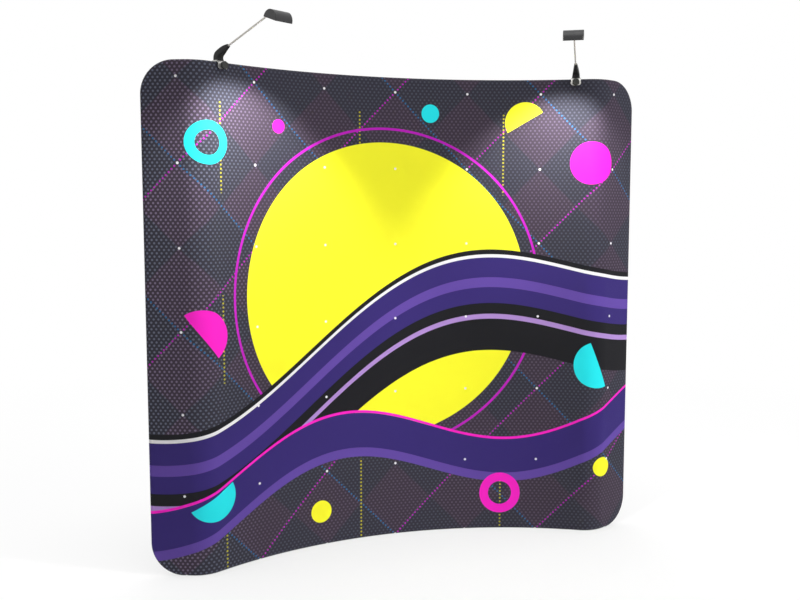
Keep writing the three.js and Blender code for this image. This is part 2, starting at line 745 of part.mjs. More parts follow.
// In a light's own frame X runs along the rail, -Y reaches to the viewer and Z is up, all
// from the rail's centre-line. Side shapes are drawn in reach and height.
const BRACKET_TOP = 24;
const BRACKET_HALF_WIDTH = 23.5;
const BRACKET_SHOULDER = 22; // outside radius from the top into the front
const BRACKET_SHOULDER_STEPS = 6;
const REAR_LEG_BACK = -21.7;
const REAR_LEG_FOOT = -12;
const FRONT_LEG_INSIDE = 24.3;
const FRONT_LEG_OUTSIDE = 28;
const FRONT_PLATE_WIDTH = 50;
const FRONT_PLATE_FOOT = -14.5;
const FRONT_PLATE_CORNER = 12;
const PAD_RADIUS = 11;
const PAD_FACE = COVER_RADIUS + GAP;
const PAD_BACK = PAD_FACE + 3;
const PAD_SOCKET = PAD_FACE + 1; // floor of the socket for the screw's tip
const PAD_CHAMFER = 0.8;
const SCREW_RADIUS = 4;
const SCREW_HOLE = SCREW_RADIUS + GAP;
const KNOB_BACK = 29.5;
const KNOB_GRIP_BACK = 33;
const KNOB_FRONT = 46.5;
const KNOB_RADIUS = 18;
const KNOB_FLAT = 16; // from the axis to the middle of a flat
const KNOB_FLATS = 6;
const KNOB_HUB = 9;
const SWIVEL_PIN_RADIUS = 4;
const SWIVEL_PIN_FOOT = 19.3;
const SWIVEL_PIN_HEAD = 36;

// A shape in reach and height, extruded along X about the middle.
function sideShape(shape, width, options = {}) {
  return alongX(shape, width, options).rotateZ(Math.PI);
}

// A revolve about the reach axis, from points of radius and reach.
function alongReach(profile, sides = PIN_SIDES) {
  const points = profile.map(([radius, reach]) => new THREE.Vector2(radius, reach));
  return new THREE.LatheGeometry(points, sides).rotateX(Math.PI);
}

// A revolve about the height axis, from points of radius and height.
function alongHeight(profile, sides = PIN_SIDES) {
  const points = profile.map(([radius, height]) => new THREE.Vector2(radius, height));
  return new THREE.LatheGeometry(points, sides).rotateX(Math.PI / 2);
}

// Saddle over the rail with a short rear leg, a round shoulder and a front plate for the
// clamp screw.
function lampBracket() {
  const rearChamfer = 3;
  const insideChamfer = new THREE.Vector2(7.5, 6.3);
  const inside = COVER_RADIUS + GAP;
  const saddle = roundCorners(inside).filter(({ x, y }) => x < 0 && y > 0).reverse();
  const legFoot = FRONT_PLATE_FOOT + FRONT_PLATE_CORNER;
  const shoulder = Array.from({ length: BRACKET_SHOULDER_STEPS + 1 }, (_, i) => {
    const angle = ((Math.PI / 2) * i) / BRACKET_SHOULDER_STEPS;
    const reach = FRONT_LEG_OUTSIDE - BRACKET_SHOULDER * (1 - Math.cos(angle));
    return new THREE.Vector2(reach, BRACKET_TOP - BRACKET_SHOULDER * (1 - Math.sin(angle)));
  });
  const side = new THREE.Shape([
    new THREE.Vector2(-inside, REAR_LEG_FOOT),
    ...saddle,
    new THREE.Vector2(FRONT_LEG_INSIDE - insideChamfer.x, inside),
    new THREE.Vector2(FRONT_LEG_INSIDE, inside - insideChamfer.y),
    new THREE.Vector2(FRONT_LEG_INSIDE, legFoot),
    new THREE.Vector2(FRONT_LEG_OUTSIDE, legFoot),
    ...shoulder,
    new THREE.Vector2(REAR_LEG_BACK + rearChamfer, BRACKET_TOP),
    new THREE.Vector2(REAR_LEG_BACK, BRACKET_TOP - rearChamfer),
    new THREE.Vector2(REAR_LEG_BACK, REAR_LEG_FOOT),
  ]);
  const plate = new THREE.Shape();
  const half = FRONT_PLATE_WIDTH / 2;
  const round = FRONT_PLATE_CORNER;
  const plateHead = BRACKET_TOP - BRACKET_SHOULDER;
  plate.moveTo(-half, plateHead);
  plate.lineTo(-half, legFoot);
  plate.absarc(-half + round, legFoot, round, Math.PI, 1.5 * Math.PI, false);
  plate.absarc(half - round, legFoot, round, 1.5 * Math.PI, 2 * Math.PI, false);
  plate.lineTo(half, plateHead);
  const thickness = FRONT_LEG_OUTSIDE - FRONT_LEG_INSIDE;
  const front = new THREE.ExtrudeGeometry(plate, {
    depth: thickness,
    bevelEnabled: false,
    curveSegments: SMALL_ARC_STEPS,
  });
  front.rotateX(Math.PI / 2).translate(0, -FRONT_LEG_INSIDE, 0);
  const screwHole = alongReach([
    [0, FRONT_LEG_INSIDE - CUT_PAST],
    [SCREW_HOLE, FRONT_LEG_INSIDE - CUT_PAST],
    [SCREW_HOLE, FRONT_LEG_OUTSIDE + CUT_PAST],
    [0, FRONT_LEG_OUTSIDE + CUT_PAST],
  ]);
  const pinHole = alongHeight([
    [0, SWIVEL_PIN_FOOT - GAP],
    [SWIVEL_PIN_RADIUS + GAP, SWIVEL_PIN_FOOT - GAP],
    [SWIVEL_PIN_RADIUS + GAP, BRACKET_TOP + CUT_PAST],
    [0, BRACKET_TOP + CUT_PAST],
  ]);
  return joinAndCut([sideShape(side, 2 * BRACKET_HALF_WIDTH), front], [screwHole, pinHole]);
}

// Rubber-faced disc that the screw presses on the rail, with a socket for the screw's tip.
function clampPad() {
  const profile = [
    [0, PAD_FACE],
    [PAD_RADIUS - PAD_CHAMFER, PAD_FACE],
    [PAD_RADIUS, PAD_FACE + PAD_CHAMFER],
    [PAD_RADIUS, PAD_BACK],
    [SCREW_HOLE, PAD_BACK],
    [SCREW_HOLE, PAD_SOCKET],
    [0, PAD_SOCKET],
  ];
  return alongReach(profile, ROD_SIDES);
}

// Six-sided knob with rounded corners, on a hub with its screw.
function clampKnob() {
  const steps = 24;
  const bevel = 1.2;
  const flatTurn = (2 * Math.PI) / KNOB_FLATS;
  const outline = Array.from({ length: steps }, (_, i) => {
    const angle = (2 * Math.PI * i) / steps;
    const offFlat = angle - flatTurn * Math.round(angle / flatTurn);
    const radius = Math.min(KNOB_FLAT / Math.cos(offFlat), KNOB_RADIUS) - bevel;
    return new THREE.Vector2(radius * Math.cos(angle), radius * Math.sin(angle));
  });
  const depth = KNOB_FRONT - KNOB_GRIP_BACK - 2 * bevel;
  const grip = new THREE.ExtrudeGeometry(new THREE.Shape(outline), {
    depth,
    bevelThickness: bevel,
    bevelSize: bevel,
    bevelOffset: 0,
    bevelSegments: 1,
  });
  grip.rotateX(Math.PI / 2).translate(0, -KNOB_GRIP_BACK - bevel, 0);
  const hub = alongReach(
    [
      [0, KNOB_BACK],
      [KNOB_HUB, KNOB_BACK],
      [KNOB_HUB, KNOB_GRIP_BACK + bevel],
      [0, KNOB_GRIP_BACK + bevel],
    ],
    BARREL_SIDES,
  );
  const tip = PAD_SOCKET + GAP;
  const chamfer = 1;
  const root = KNOB_BACK + 2;
  const screw = alongReach([
    [0, tip],
    [SCREW_RADIUS - chamfer, tip],
    [SCREW_RADIUS, tip + chamfer],
    [SCREW_RADIUS, root],
    [0, root],
  ]);
  return joinAndCut([grip, hub, screw]);
}

function swivelPin() {
  const chamfer = 1;
  return alongHeight([
    [0, SWIVEL_PIN_FOOT],
    [SWIVEL_PIN_RADIUS, SWIVEL_PIN_FOOT],
    [SWIVEL_PIN_RADIUS, SWIVEL_PIN_HEAD - chamfer],
    [SWIVEL_PIN_RADIUS - chamfer, SWIVEL_PIN_HEAD],
    [0, SWIVEL_PIN_HEAD],
  ]);
}

// Closed loft through rings of equal point count.
function loft(rings) {
  const positions = rings.flat().flatMap((point) => point.toArray());
  const count = rings[0].length;
  const faces = [];
  for (let ring = 0; ring < rings.length - 1; ring += 1) {
    for (let i = 0; i < count; i += 1) {
      const next = (i + 1) % count;
      const [a, b] = [ring * count + i, ring * count + next];
      faces.push(a, b, b + count, a, b + count, a + count);
    }
  }
  const last = (rings.length - 1) * count;
  for (let i = 1; i < count - 1; i += 1) {
    faces.push(0, i + 1, i, last, last + i, last + i + 1);
  }
  const geometry = new THREE.BufferGeometry();
  geometry.setAttribute('position', new THREE.Float32BufferAttribute(positions, 3));
  geometry.setIndex(faces);
  geometry.computeVertexNormals();
  return geometry;
}

// Where the rod leaves the neck, and where the head tilts, in reach and height.
const ROD_ROOT = new THREE.Vector2(71, 81.7);
const NECK_SOCKET = 13;
const TILT_REACH = 360;
const TILT_HEIGHT = ROD_ROOT.y + (TILT_REACH - ROD_ROOT.x) * Math.tan(ROD_SLOPE);

// Elbow-shaped neck, lofted between the spline of its heel and the spline of its throat and
// narrowing from the rail to the rod.
const NECK_BASE = BRACKET_TOP + GAP;
const NECK_HEEL = new THREE.SplineCurve([
  new THREE.Vector2(-20.3, NECK_BASE),
  new THREE.Vector2(-20.8, 44),
  new THREE.Vector2(-12.5, 61.5),
  new THREE.Vector2(15.5, 76.6),
  new THREE.Vector2(40, 84.5),
  new THREE.Vector2(64.4, 87.2),
]);
const NECK_THROAT = new THREE.SplineCurve([
  new THREE.Vector2(15.3, NECK_BASE),
  new THREE.Vector2(11.8, 32),
  new THREE.Vector2(17.5, 41.5),
  new THREE.Vector2(33.8, 50.2),
  new THREE.Vector2(52, 62.2),
  new THREE.Vector2(72.3, 75.3),
]);
const NECK_WIDTHS = new THREE.SplineCurve(
  [38.5, 36, 31, 24, 17.5, 12.4].map((width, i) => new THREE.Vector2(i, width)),
);
const NECK_RINGS = 8;
const NECK_RING_POINTS = 16;
const NECK_SQUARENESS = 0.4; // exponent of the ring: 1 is an ellipse, 0 a rectangle
const INLET_HEIGHT = 44;
const INLET_RADIUS = 5;
const INLET_MOUTH = -22;
const INLET_FLOOR = -9;

const squashed = (value) => Math.sign(value) * Math.abs(value) ** NECK_SQUARENESS;

function neckRing(share) {
  const heel = NECK_HEEL.getPoint(share);
  const throat = NECK_THROAT.getPoint(share);
  const halfWidth = NECK_WIDTHS.getPoint(share).y / 2;
  const centre = heel.clone().add(throat).divideScalar(2);
  const arm = throat.clone().sub(heel).divideScalar(2);
  return Array.from({ length: NECK_RING_POINTS }, (_, i) => {
    const angle = ((i + 0.5) * 2 * Math.PI) / NECK_RING_POINTS;
    const across = squashed(Math.cos(angle));
    const depth = squashed(Math.sin(angle));
    const reach = centre.x + arm.x * depth;
    const height = centre.y + arm.y * depth;
    return new THREE.Vector3(-halfWidth * across, -reach, height);
  });
}

// Lathe profile of points along the rod's own axis: radius, and distance past the rod's root.
function alongRod(profile) {
  const geometry = alongReach(profile, ROD_SIDES);
  geometry.rotateX(-ROD_SLOPE);
  return geometry.translate(0, -ROD_ROOT.x, ROD_ROOT.y);
}

function lampNeck() {
  const shares = Array.from({ length: NECK_RINGS + 1 }, (_, i) => i / NECK_RINGS);
  const body = loft(shares.map(neckRing));
  const pinBore = alongHeight([
    [0, BRACKET_TOP - CUT_PAST],
    [SWIVEL_PIN_RADIUS + GAP, BRACKET_TOP - CUT_PAST],
    [SWIVEL_PIN_RADIUS + GAP, SWIVEL_PIN_HEAD + GAP],
    [0, SWIVEL_PIN_HEAD + GAP],
  ]);
  const rodBore = alongRod([
    [0, -NECK_SOCKET - GAP],
    [ROD_RADIUS + GAP, -NECK_SOCKET - GAP],
    [ROD_RADIUS + GAP, 2 * CUT_PAST],
    [0, 2 * CUT_PAST],
  ]);
  const inletBore = alongReach([
    [0, INLET_MOUTH - CUT_PAST],
    [INLET_RADIUS + GAP, INLET_MOUTH - CUT_PAST],
    [INLET_RADIUS + GAP, INLET_FLOOR + GAP],
    [0, INLET_FLOOR + GAP],
  ]).translate(0, 0, INLET_HEIGHT);
  return joinAndCut([body], [pinBore, rodBore, inletBore]);
}

// Round low-voltage socket in the neck's heel, with its centre contact.
function powerInlet() {
  const contact = 0.9;
  const socket = 3.1;
  const contactRecess = 2.5;
  const contactTip = INLET_MOUTH + contactRecess;
  const floorThickness = 2;
  const socketFloor = INLET_FLOOR - floorThickness;
  return alongReach([
    [0, contactTip],
    [contact, contactTip],
    [contact, socketFloor],
    [socket, socketFloor],
    [socket, INLET_MOUTH],
    [INLET_RADIUS, INLET_MOUTH],
    [INLET_RADIUS, INLET_FLOOR],
    [0, INLET_FLOOR],
  ]).translate(0, 0, INLET_HEIGHT);
}

const ROD_LENGTH = (TILT_REACH - ROD_ROOT.x) / Math.cos(ROD_SLOPE);
const KNUCKLE_RADIUS = 5;
const KNUCKLE_WIDTH = 10;
const KNUCKLE_SLEEVE = 14;
const KNUCKLE_WALL = 1; // between the rod's end and the barrel
const ROD_END = ROD_LENGTH - KNUCKLE_RADIUS - KNUCKLE_WALL;
const TILT_PIN_RADIUS = 2;

function armRod() {
  return alongRod([
    [ROD_BORE, -NECK_SOCKET],
    [ROD_RADIUS, -NECK_SOCKET],
    [ROD_RADIUS, ROD_END],
    [ROD_BORE, ROD_END],
    [ROD_BORE, -NECK_SOCKET],
  ]);
}

// Sleeve on the rod's end with the tilt joint's barrel across it.
function armKnuckle() {
  const sleeveRadius = KNUCKLE_WIDTH / 2;
  const sleeve = alongRod([
    [0, ROD_LENGTH - KNUCKLE_SLEEVE],
    [sleeveRadius, ROD_LENGTH - KNUCKLE_SLEEVE],
    [sleeveRadius, ROD_LENGTH - TILT_PIN_RADIUS],
    [0, ROD_LENGTH - TILT_PIN_RADIUS],
  ]);
  const socket = alongRod([
    [0, -NECK_SOCKET],
    [ROD_RADIUS + GAP, -NECK_SOCKET],
    [ROD_RADIUS + GAP, ROD_END + GAP],
    [0, ROD_END + GAP],
  ]);
  const atTilt = (geometry) => geometry.translate(0, -TILT_REACH, TILT_HEIGHT);
  const barrel = atTilt(pinAlongX(KNUCKLE_RADIUS, KNUCKLE_WIDTH, BARREL_SIDES));
  const hole = atTilt(pinAlongX(TILT_PIN_RADIUS + GAP, 2 * KNUCKLE_WIDTH));
  return joinAndCut([barrel, sleeve], [socket, hole]);
}

const EAR_THICKNESS = 3;
const EAR_INSIDE = KNUCKLE_WIDTH / 2 + GAP;
const EAR_RADIUS = 5;

// Tilt pin with a flat head at each end, about the tilt axis.
function tiltPin() {
  const neck = EAR_INSIDE + EAR_THICKNESS + GAP;
  const headThickness = 1.2;
  const head = neck + headThickness;
  const headRadius = 3.4;
  const profile = [
    [0, -head],
    [headRadius, -head],
    [headRadius, -neck],
    [TILT_PIN_RADIUS, -neck],
    [TILT_PIN_RADIUS, neck],
    [headRadius, neck],
    [headRadius, head],
    [0, head],
  ].map(([radius, place]) => new THREE.Vector2(radius, place));
  return new THREE.LatheGeometry(profile, PIN_SIDES).rotateZ(Math.PI / 2);
}

// The head in its own frame: origin on the tilt axis, opening straight down.
const SHADE_REACH = 43; // from the tilt axis to the half-round shade's axis
const SHADE_DROP = 25;
const SHADE_SEGMENTS = 16;
const SHADE_BODY_WIDTH = SHADE_WIDTH - 2 * (CHEEK_THICKNESS + GAP);
const SHADE_INSIDE = SHADE_RADIUS - SHADE_THICKNESS;

function lampShade() {
  const arch = new THREE.Shape();
  arch.absarc(SHADE_REACH, -SHADE_DROP, SHADE_RADIUS, 0, Math.PI, false);
  arch.absarc(SHADE_REACH, -SHADE_DROP, SHADE_INSIDE, Math.PI, 0, true);
  const shell = sideShape(arch, SHADE_BODY_WIDTH, { curveSegments: SHADE_SEGMENTS });
  const toPivot = Math.atan2(SHADE_DROP, -SHADE_REACH);
  const rootRadius = SHADE_RADIUS - SHADE_THICKNESS / 2;
  const root = (angle) => [
    SHADE_REACH + rootRadius * Math.cos(angle),
    -SHADE_DROP + rootRadius * Math.sin(angle),
  ];
  const spread = rad(13);
  const rounding = rad(110);
  const earSteps = 8;
  const ear = new THREE.Shape();
  ear.moveTo(...root(toPivot + spread));
  ear.lineTo(...root(toPivot - spread));
  ear.absarc(0, 0, EAR_RADIUS, toPivot - rounding, toPivot + rounding - 2 * Math.PI, false);
  const hole = pinAlongX(TILT_PIN_RADIUS + GAP, 4 * KNUCKLE_WIDTH);
  const earMiddle = EAR_INSIDE + EAR_THICKNESS / 2;
  const ears = [1, -1].map((end) =>
    sideShape(ear, EAR_THICKNESS, { curveSegments: earSteps }).translate(end * earMiddle, 0, 0),
  );
  return joinAndCut([shell, ...ears], [hole]);
}

// Half-round end plate with a chamfered rim.
function shadeCheek(end) {
  const chamfer = 0.8;
  const disc = new THREE.Shape();
  disc.absarc(SHADE_REACH, -SHADE_DROP, SHADE_RADIUS - chamfer, 0, Math.PI, false);
  const plate = sideShape(disc, CHEEK_THICKNESS - chamfer, {
    curveSegments: SHADE_SEGMENTS,
    bevelEnabled: true,
    bevelThickness: chamfer / 2,
    bevelSize: chamfer,
    bevelSegments: 1,
  });
  const keepHeight = SHADE_RADIUS * 2;
  const keep = new THREE.BoxGeometry(2 * CHEEK_THICKNESS, 3 * SHADE_RADIUS, keepHeight);
  keep.translate(0, -SHADE_REACH, keepHeight / 2 - SHADE_DROP);
  const trimmed = fromSolid(solid(plate).intersect(solid(keep)));
  return trimmed.translate(end * (SHADE_WIDTH / 2 - CHEEK_THICKNESS / 2), 0, 0);
}

// Circuit board under the shade's crown with a row of light-emitting domes.
function ledBoard() {
  const boardHeight = 25;
  const boardDepth = 40;
  const boardWidth = SHADE_BODY_WIDTH - 6;
  const thickness = 1.6;
  const ledCount = 3;
  const ledSpacing = 24;
  const ledRadius = 4;
  const ledShoulder = 3.2;
  const ledShoulderRadius = 2.6;
  const board = new THREE.BoxGeometry(boardWidth, boardDepth, thickness);
  board.translate(0, -SHADE_REACH, boardHeight - SHADE_DROP);
  const ledFoot = boardHeight - SHADE_DROP - thickness / 2 + FUSE;
  const profile = [
    [0, -ledRadius],
    [ledShoulderRadius, -ledShoulder],
    [ledRadius, 0],
    [0, 0],
  ];
  const domes = Array.from({ length: ledCount }, (_, i) => {
    const x = (i - (ledCount - 1) / 2) * ledSpacing;
    return alongHeight(profile, DOME_SIDES).translate(x, -SHADE_REACH, ledFoot);
  });
  return joinAndCut([board, ...domes]);
}

// Clear cover just inside the shade's rim.
function lampLens() {
  const recess = 2.5;
  const thickness = 1.5;
  const half = Math.sqrt(SHADE_INSIDE ** 2 - (recess + thickness) ** 2) - 2 * GAP;
  const plate = new THREE.BoxGeometry(SHADE_BODY_WIDTH, 2 * half, thickness);
  return plate.translate(0, -SHADE_REACH, recess + thickness / 2 - SHADE_DROP);
}

function light(side) {
  const label = side > 0 ? 'right' : 'left';
  const station = stationAt(LIGHT_RUN, side, 1);
  const railHeading = Math.atan2(station.front.x, -station.front.y);
  const clamp = new THREE.Group();
  clamp.position.copy(station.point);
  clamp.rotation.z = railHeading;
  const arm = new THREE.Group();
  arm.rotation.z = -side * LIGHT_HEADING - railHeading;
  const head = new THREE.Group();
  head.position.set(0, -TILT_REACH, TILT_HEIGHT);
  head.rotation.x = SHADE_TILT;

  const pin = piece(`tilt_pin_${label}`, tiltPin(), STEEL);
  pin.position.copy(head.position);
  clamp.add(
    piece(`lamp_bracket_${label}`, lampBracket(), STEEL),
    piece(`clamp_pad_${label}`, clampPad(), RUBBER),
    piece(`clamp_knob_${label}`, clampKnob(), GREY_PLASTIC),
    piece(`swivel_pin_${label}`, swivelPin(), STEEL),
    arm,
  );
  arm.add(
    piece(`lamp_neck_${label}`, lampNeck(), BLACK_PLASTIC),
    piece(`power_inlet_${label}`, powerInlet(), ZIP_PLASTIC),
    piece(`lamp_arm_${label}`, armRod(), SATIN_ROD),
    piece(`arm_knuckle_${label}`, armKnuckle(), BLACK_PLASTIC),
    pin,
    head,
  );
  head.add(
    piece(`lamp_shade_${label}`, lampShade(), CHARCOAL_PAINT),
    piece(`shade_cheek_a_${label}`, shadeCheek(1), CHARCOAL_PAINT),
    piece(`shade_cheek_b_${label}`, shadeCheek(-1), CHARCOAL_PAINT),
    piece(`led_board_${label}`, ledBoard(), CIRCUIT),
    piece(`lamp_lens_${label}`, lampLens(), CLEAR_LENS),
  );
  return clamp;
}

// ---------------------------------------------------------------- assembly

function frame() {
  const parts = new THREE.Group();
  parts.add(
    piece('top_tee', tee(1), ALUMINIUM),
    piece('bottom_tee', tee(-1), ALUMINIUM),
    piece('upper_centre_pole', upperCentrePole(), ALUMINIUM),
    piece('lower_centre_pole', lowerCentrePole(), ALUMINIUM),
  );
  for (const side of [1, -1]) {
    const label = side > 0 ? 'right' : 'left';
    parts.add(
      piece(`top_rail_${label}`, railTube(side, 1), ALUMINIUM),
      piece(`bottom_rail_${label}`, railTube(side, -1), ALUMINIUM),
      piece(`upper_side_tube_${label}`, upperSideTube(side), ALUMINIUM),
      piece(`lower_side_tube_${label}`, lowerSideTube(side), ALUMINIUM),
    );
  }
  return parts;
}

function snapButtons() {
  const buttons = new THREE.Group();
  const geometry = snapButtonGeometry();
  const add = (name, station) => buttons.add(snapButton(`snap_button_${name}`, geometry, station));
  for (const side of [1, -1]) {
    const label = side > 0 ? 'right' : 'left';
    for (const level of [1, -1]) {
      const row = level > 0 ? 'top' : 'bottom';
      add(`${row}_tee_${label}`, stationAt(TEE_HALF_RUN + HALF_SPIGOT, side, level));
      add(`${row}_rail_${label}`, stationAt(RAIL_JOINT + HALF_SPIGOT, side, level));
    }
    add(`side_${label}`, stationAt(SIDE_END + HALF_SPIGOT, side, -1));
  }
  add('pole_top', poleStation(TOP_POLE_END - HALF_SPIGOT));
  add('pole_middle', poleStation(MID_HEIGHT + HALF_SPIGOT));
  add('pole_bottom', poleStation(BOTTOM_POLE_END + HALF_SPIGOT));
  return buttons;
}

const backwall = new THREE.Group();
backwall.add(
  frame(),
  snapButtons(),
  piece('front_cover_panel', frontPanel(), PRINTED_FABRIC),
  piece('back_cover_panel', backPanel(), PLAIN_FABRIC),
  ...zip(),
  light(-1),
  light(1),
);

export default backwall;
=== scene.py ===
"""Looks of the curved stretch-cover backwall with its two clamp-on lights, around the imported
frame. Metres, Z up, the viewer on the -Y side. The named sizes repeat the part's source."""

import json
from functools import partial
from math import atan2, ceil, copysign, cos, degrees, pi, radians, sin, sqrt, tan

import bmesh
import bpy
from mathutils import Matrix, Vector

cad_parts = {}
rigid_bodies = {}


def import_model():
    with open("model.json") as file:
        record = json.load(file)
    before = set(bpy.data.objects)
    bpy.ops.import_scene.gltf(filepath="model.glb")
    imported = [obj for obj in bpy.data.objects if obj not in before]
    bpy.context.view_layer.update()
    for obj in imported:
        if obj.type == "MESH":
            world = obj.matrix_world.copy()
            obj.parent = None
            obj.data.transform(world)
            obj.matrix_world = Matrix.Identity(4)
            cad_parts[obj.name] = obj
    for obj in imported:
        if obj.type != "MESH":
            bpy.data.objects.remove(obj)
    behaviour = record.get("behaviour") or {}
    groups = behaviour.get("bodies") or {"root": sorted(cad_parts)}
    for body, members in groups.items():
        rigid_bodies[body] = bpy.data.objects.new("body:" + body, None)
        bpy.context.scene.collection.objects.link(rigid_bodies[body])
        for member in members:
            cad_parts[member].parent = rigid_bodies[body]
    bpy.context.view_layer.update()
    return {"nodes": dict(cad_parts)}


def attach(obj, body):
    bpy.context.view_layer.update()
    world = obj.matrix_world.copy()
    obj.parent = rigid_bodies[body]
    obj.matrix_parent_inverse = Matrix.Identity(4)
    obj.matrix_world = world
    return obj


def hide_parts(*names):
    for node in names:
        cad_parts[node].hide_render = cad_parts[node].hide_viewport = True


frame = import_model()

scene = bpy.context.scene
for stray in list(bpy.data.objects):
    if stray.name not in scene.objects or stray.type in ("CAMERA", "LIGHT"):
        bpy.data.objects.remove(stray)

MM = 0.001
WHITE_LIGHT = (1.0, 1.0, 1.0, 1.0)
SIDES = ((1, "right"), (-1, "left"))

# ---- camera

CAMERA_PLACE = (-1.3982, -4.4302, 1.6295)
CAMERA_LENS = 42.18
CAMERA_PITCH = 5.371  # degrees below the horizon
CAMERA_HEADING = 17.868  # degrees to the right of straight ahead

camera_data = bpy.data.cameras.new("camera")
camera_data.lens = CAMERA_LENS
camera_data.sensor_width = 36
camera = bpy.data.objects.new("camera", camera_data)
camera.location = CAMERA_PLACE
camera.rotation_euler = (radians(90 - CAMERA_PITCH), 0, radians(-CAMERA_HEADING))
scene.collection.objects.link(camera)
scene.camera = camera

# ---- sizes, as in the source

WALL_HEIGHT = 2280 * MM
ARC_RADIUS = 1834 * MM
ARC_HALF_ANGLE = radians(30)
BEND_RADIUS = 130 * MM
CURL_ANGLE = radians(52.5)
END_LEG = 169 * MM

TUBE_RADIUS = 16 * MM
TUBE_BORE = 14.5 * MM
SPIGOT_RADIUS = 14.2 * MM
SPIGOT_BORE = 12.7 * MM
SPIGOT_LENGTH = 60 * MM
SWAGE_RING = 10 * MM
GAP = 0.3 * MM
TEE_HALF_RUN = 45 * MM
TEE_BRANCH = 60 * MM
RAIL_JOINT = 820 * MM
BUTTON_HOLE = 4.3 * MM

FABRIC = 1.2 * MM
COVER_RADIUS = TUBE_RADIUS + GAP + FABRIC
ZIP_HEIGHT = 60 * MM
ZIP_TAPE_WIDTH = 16 * MM
ZIP_CHAIN_PROUD = 1.5 * MM
TOOTH_PITCH = 1.2 * MM
TOOTH_LENGTH = 1.5 * MM

LIGHT_RUN = 907 * MM
LIGHT_HEADING = radians(30.3)
SHADE_TILT = radians(20.6)

ARC_LENGTH = ARC_RADIUS * ARC_HALF_ANGLE
CURL_LENGTH = BEND_RADIUS * CURL_ANGLE
END_HEADING = CURL_ANGLE - ARC_HALF_ANGLE
CORNER_START = ARC_LENGTH + CURL_LENGTH + END_LEG - BEND_RADIUS
CORNER_END = CORNER_START + BEND_RADIUS * pi / 2
MID_HEIGHT = WALL_HEIGHT / 2
TOP_LINE = WALL_HEIGHT - COVER_RADIUS
SIDE_END = CORNER_END + TOP_LINE - BEND_RADIUS - MID_HEIGHT
SEAM_ANGLE = radians(112.5)  # round the rim from the front
SEAM_TUCK = 0.6 * MM  # how far the panels dip at the seam between them

HALF_SPIGOT = SPIGOT_LENGTH / 2
RAIL_HOLE = RAIL_JOINT + HALF_SPIGOT
POLE_HOLE = MID_HEIGHT + HALF_SPIGOT
TOP_POLE_END = TOP_LINE - TEE_BRANCH
BOTTOM_POLE_END = COVER_RADIUS + TEE_BRANCH
LIP = 0.4 * MM  # of the tubes' rounded ends

RUN_STEP = 0.02  # between stations along the tubes
COLUMN_STEP = 0.016
SIDE_ROWS = 30

# ---- levels of light

WORLD_LEVEL = 0.37
FLOOR_SEEN = 0.145  # the floor's own share, as the camera sees it
FLOOR_LIFT = (0.62, 0.89)  # glow added for the camera where it is shut in, and where it is open: painted shade in nooks
FLOOR_SHADE_DISTANCE = 1.3  # how near the things are that shut it in, for the painted shade
FLOOR_FADE = (2.6, 5.5)  # distances between which it turns white
STUDIO_LIGHTS = (
    ("key", (4.5, -3.7, 1.8), (0, 0, 1.4), (3.0, 1.6), 150.0),
    ("fill", (-3.4, -4.4, 2.4), (0, 0, 1.3), (3.0, 2.0), 14.0),
    ("top", (0.0, -1.6, 5.0), (0, -0.3, 1.2), (3.5, 2.5), 36.0),
    ("rear", (0.6, 4.2, 4.4), (0, 0, 0.8), (4.0, 2.0), 110.0),
)  # place, aim, size and power

LAMP_POWER = 68.0
LAMP_COLOUR = (1.0, 0.99, 0.97)
LAMP_BEAM = {"spot_size": radians(90), "spot_blend": 0.6, "shadow_soft_size": 0.02}
LAMP_TURN = radians(4.5)  # of the beam, towards the wall's middle

# ---- the wall's edge line


def arc_point(start, radius, before, after):
    x = start.x + radius * (sin(after) - sin(before))
    y = start.y - radius * (cos(after) - cos(before))
    return Vector((x, y, 0))


CURL_POINT = arc_point(Vector((0, 0, 0)), -ARC_RADIUS, 0, -ARC_HALF_ANGLE)
LEG_POINT = arc_point(CURL_POINT, BEND_RADIUS, -ARC_HALF_ANGLE, END_HEADING)


def along_of(heading):
    return Vector((cos(heading), sin(heading), 0))


def front_of(heading):
    return Vector((sin(heading), -cos(heading), 0))


def plan(run):
    """Heading and place of the plan curve, at a run to the right of the wall's middle."""
    if run <= ARC_LENGTH:
        heading = -run / ARC_RADIUS
        return heading, arc_point(Vector((0, 0, 0)), -ARC_RADIUS, 0, heading)
    if run <= ARC_LENGTH + CURL_LENGTH:
        heading = (run - ARC_LENGTH) / BEND_RADIUS - ARC_HALF_ANGLE
        return heading, arc_point(CURL_POINT, BEND_RADIUS, -ARC_HALF_ANGLE, heading)
    past = run - ARC_LENGTH - CURL_LENGTH
    return END_HEADING, LEG_POINT + past * along_of(END_HEADING)


def mirror(vector, side, level=1):
    return Vector((side * vector.x, vector.y, level * vector.z))


def edge(run, side=1, level=1):
    """Point, outward and front of the edge line, with its place and its outward direction on
    the laid-out cloth, as (run, height). Side is 1 for the right half, level 1 for the top."""
    turn = min(max(run - CORNER_START, 0) / BEND_RADIUS, pi / 2)
    heading, point = plan(min(run, CORNER_START))
    sideways = along_of(heading)
    reach = BEND_RADIUS * sin(turn)
    point = mirror(point + reach * sideways, side)
    point.z = TOP_LINE - BEND_RADIUS * (1 - cos(turn)) - max(run - CORNER_END, 0)
    if level < 0:
        point.z = WALL_HEIGHT - point.z
    out = sideways * sin(turn) + Vector((0, 0, cos(turn)))
    return {
        "point": point,
        "out": mirror(out, side, level),
        "front": mirror(front_of(heading), side),
        "place": (side * (min(run, CORNER_START) + reach), point.z),
        "out_place": (side * sin(turn), level * cos(turn)),
    }


def across(run, level=1):
    """The edge line at a run that is negative on the left half."""
    return edge(abs(run), 1 if run >= 0 else -1, level)


def steps(start, end, count):
    return [start + (end - start) * i / count for i in range(count + 1)]


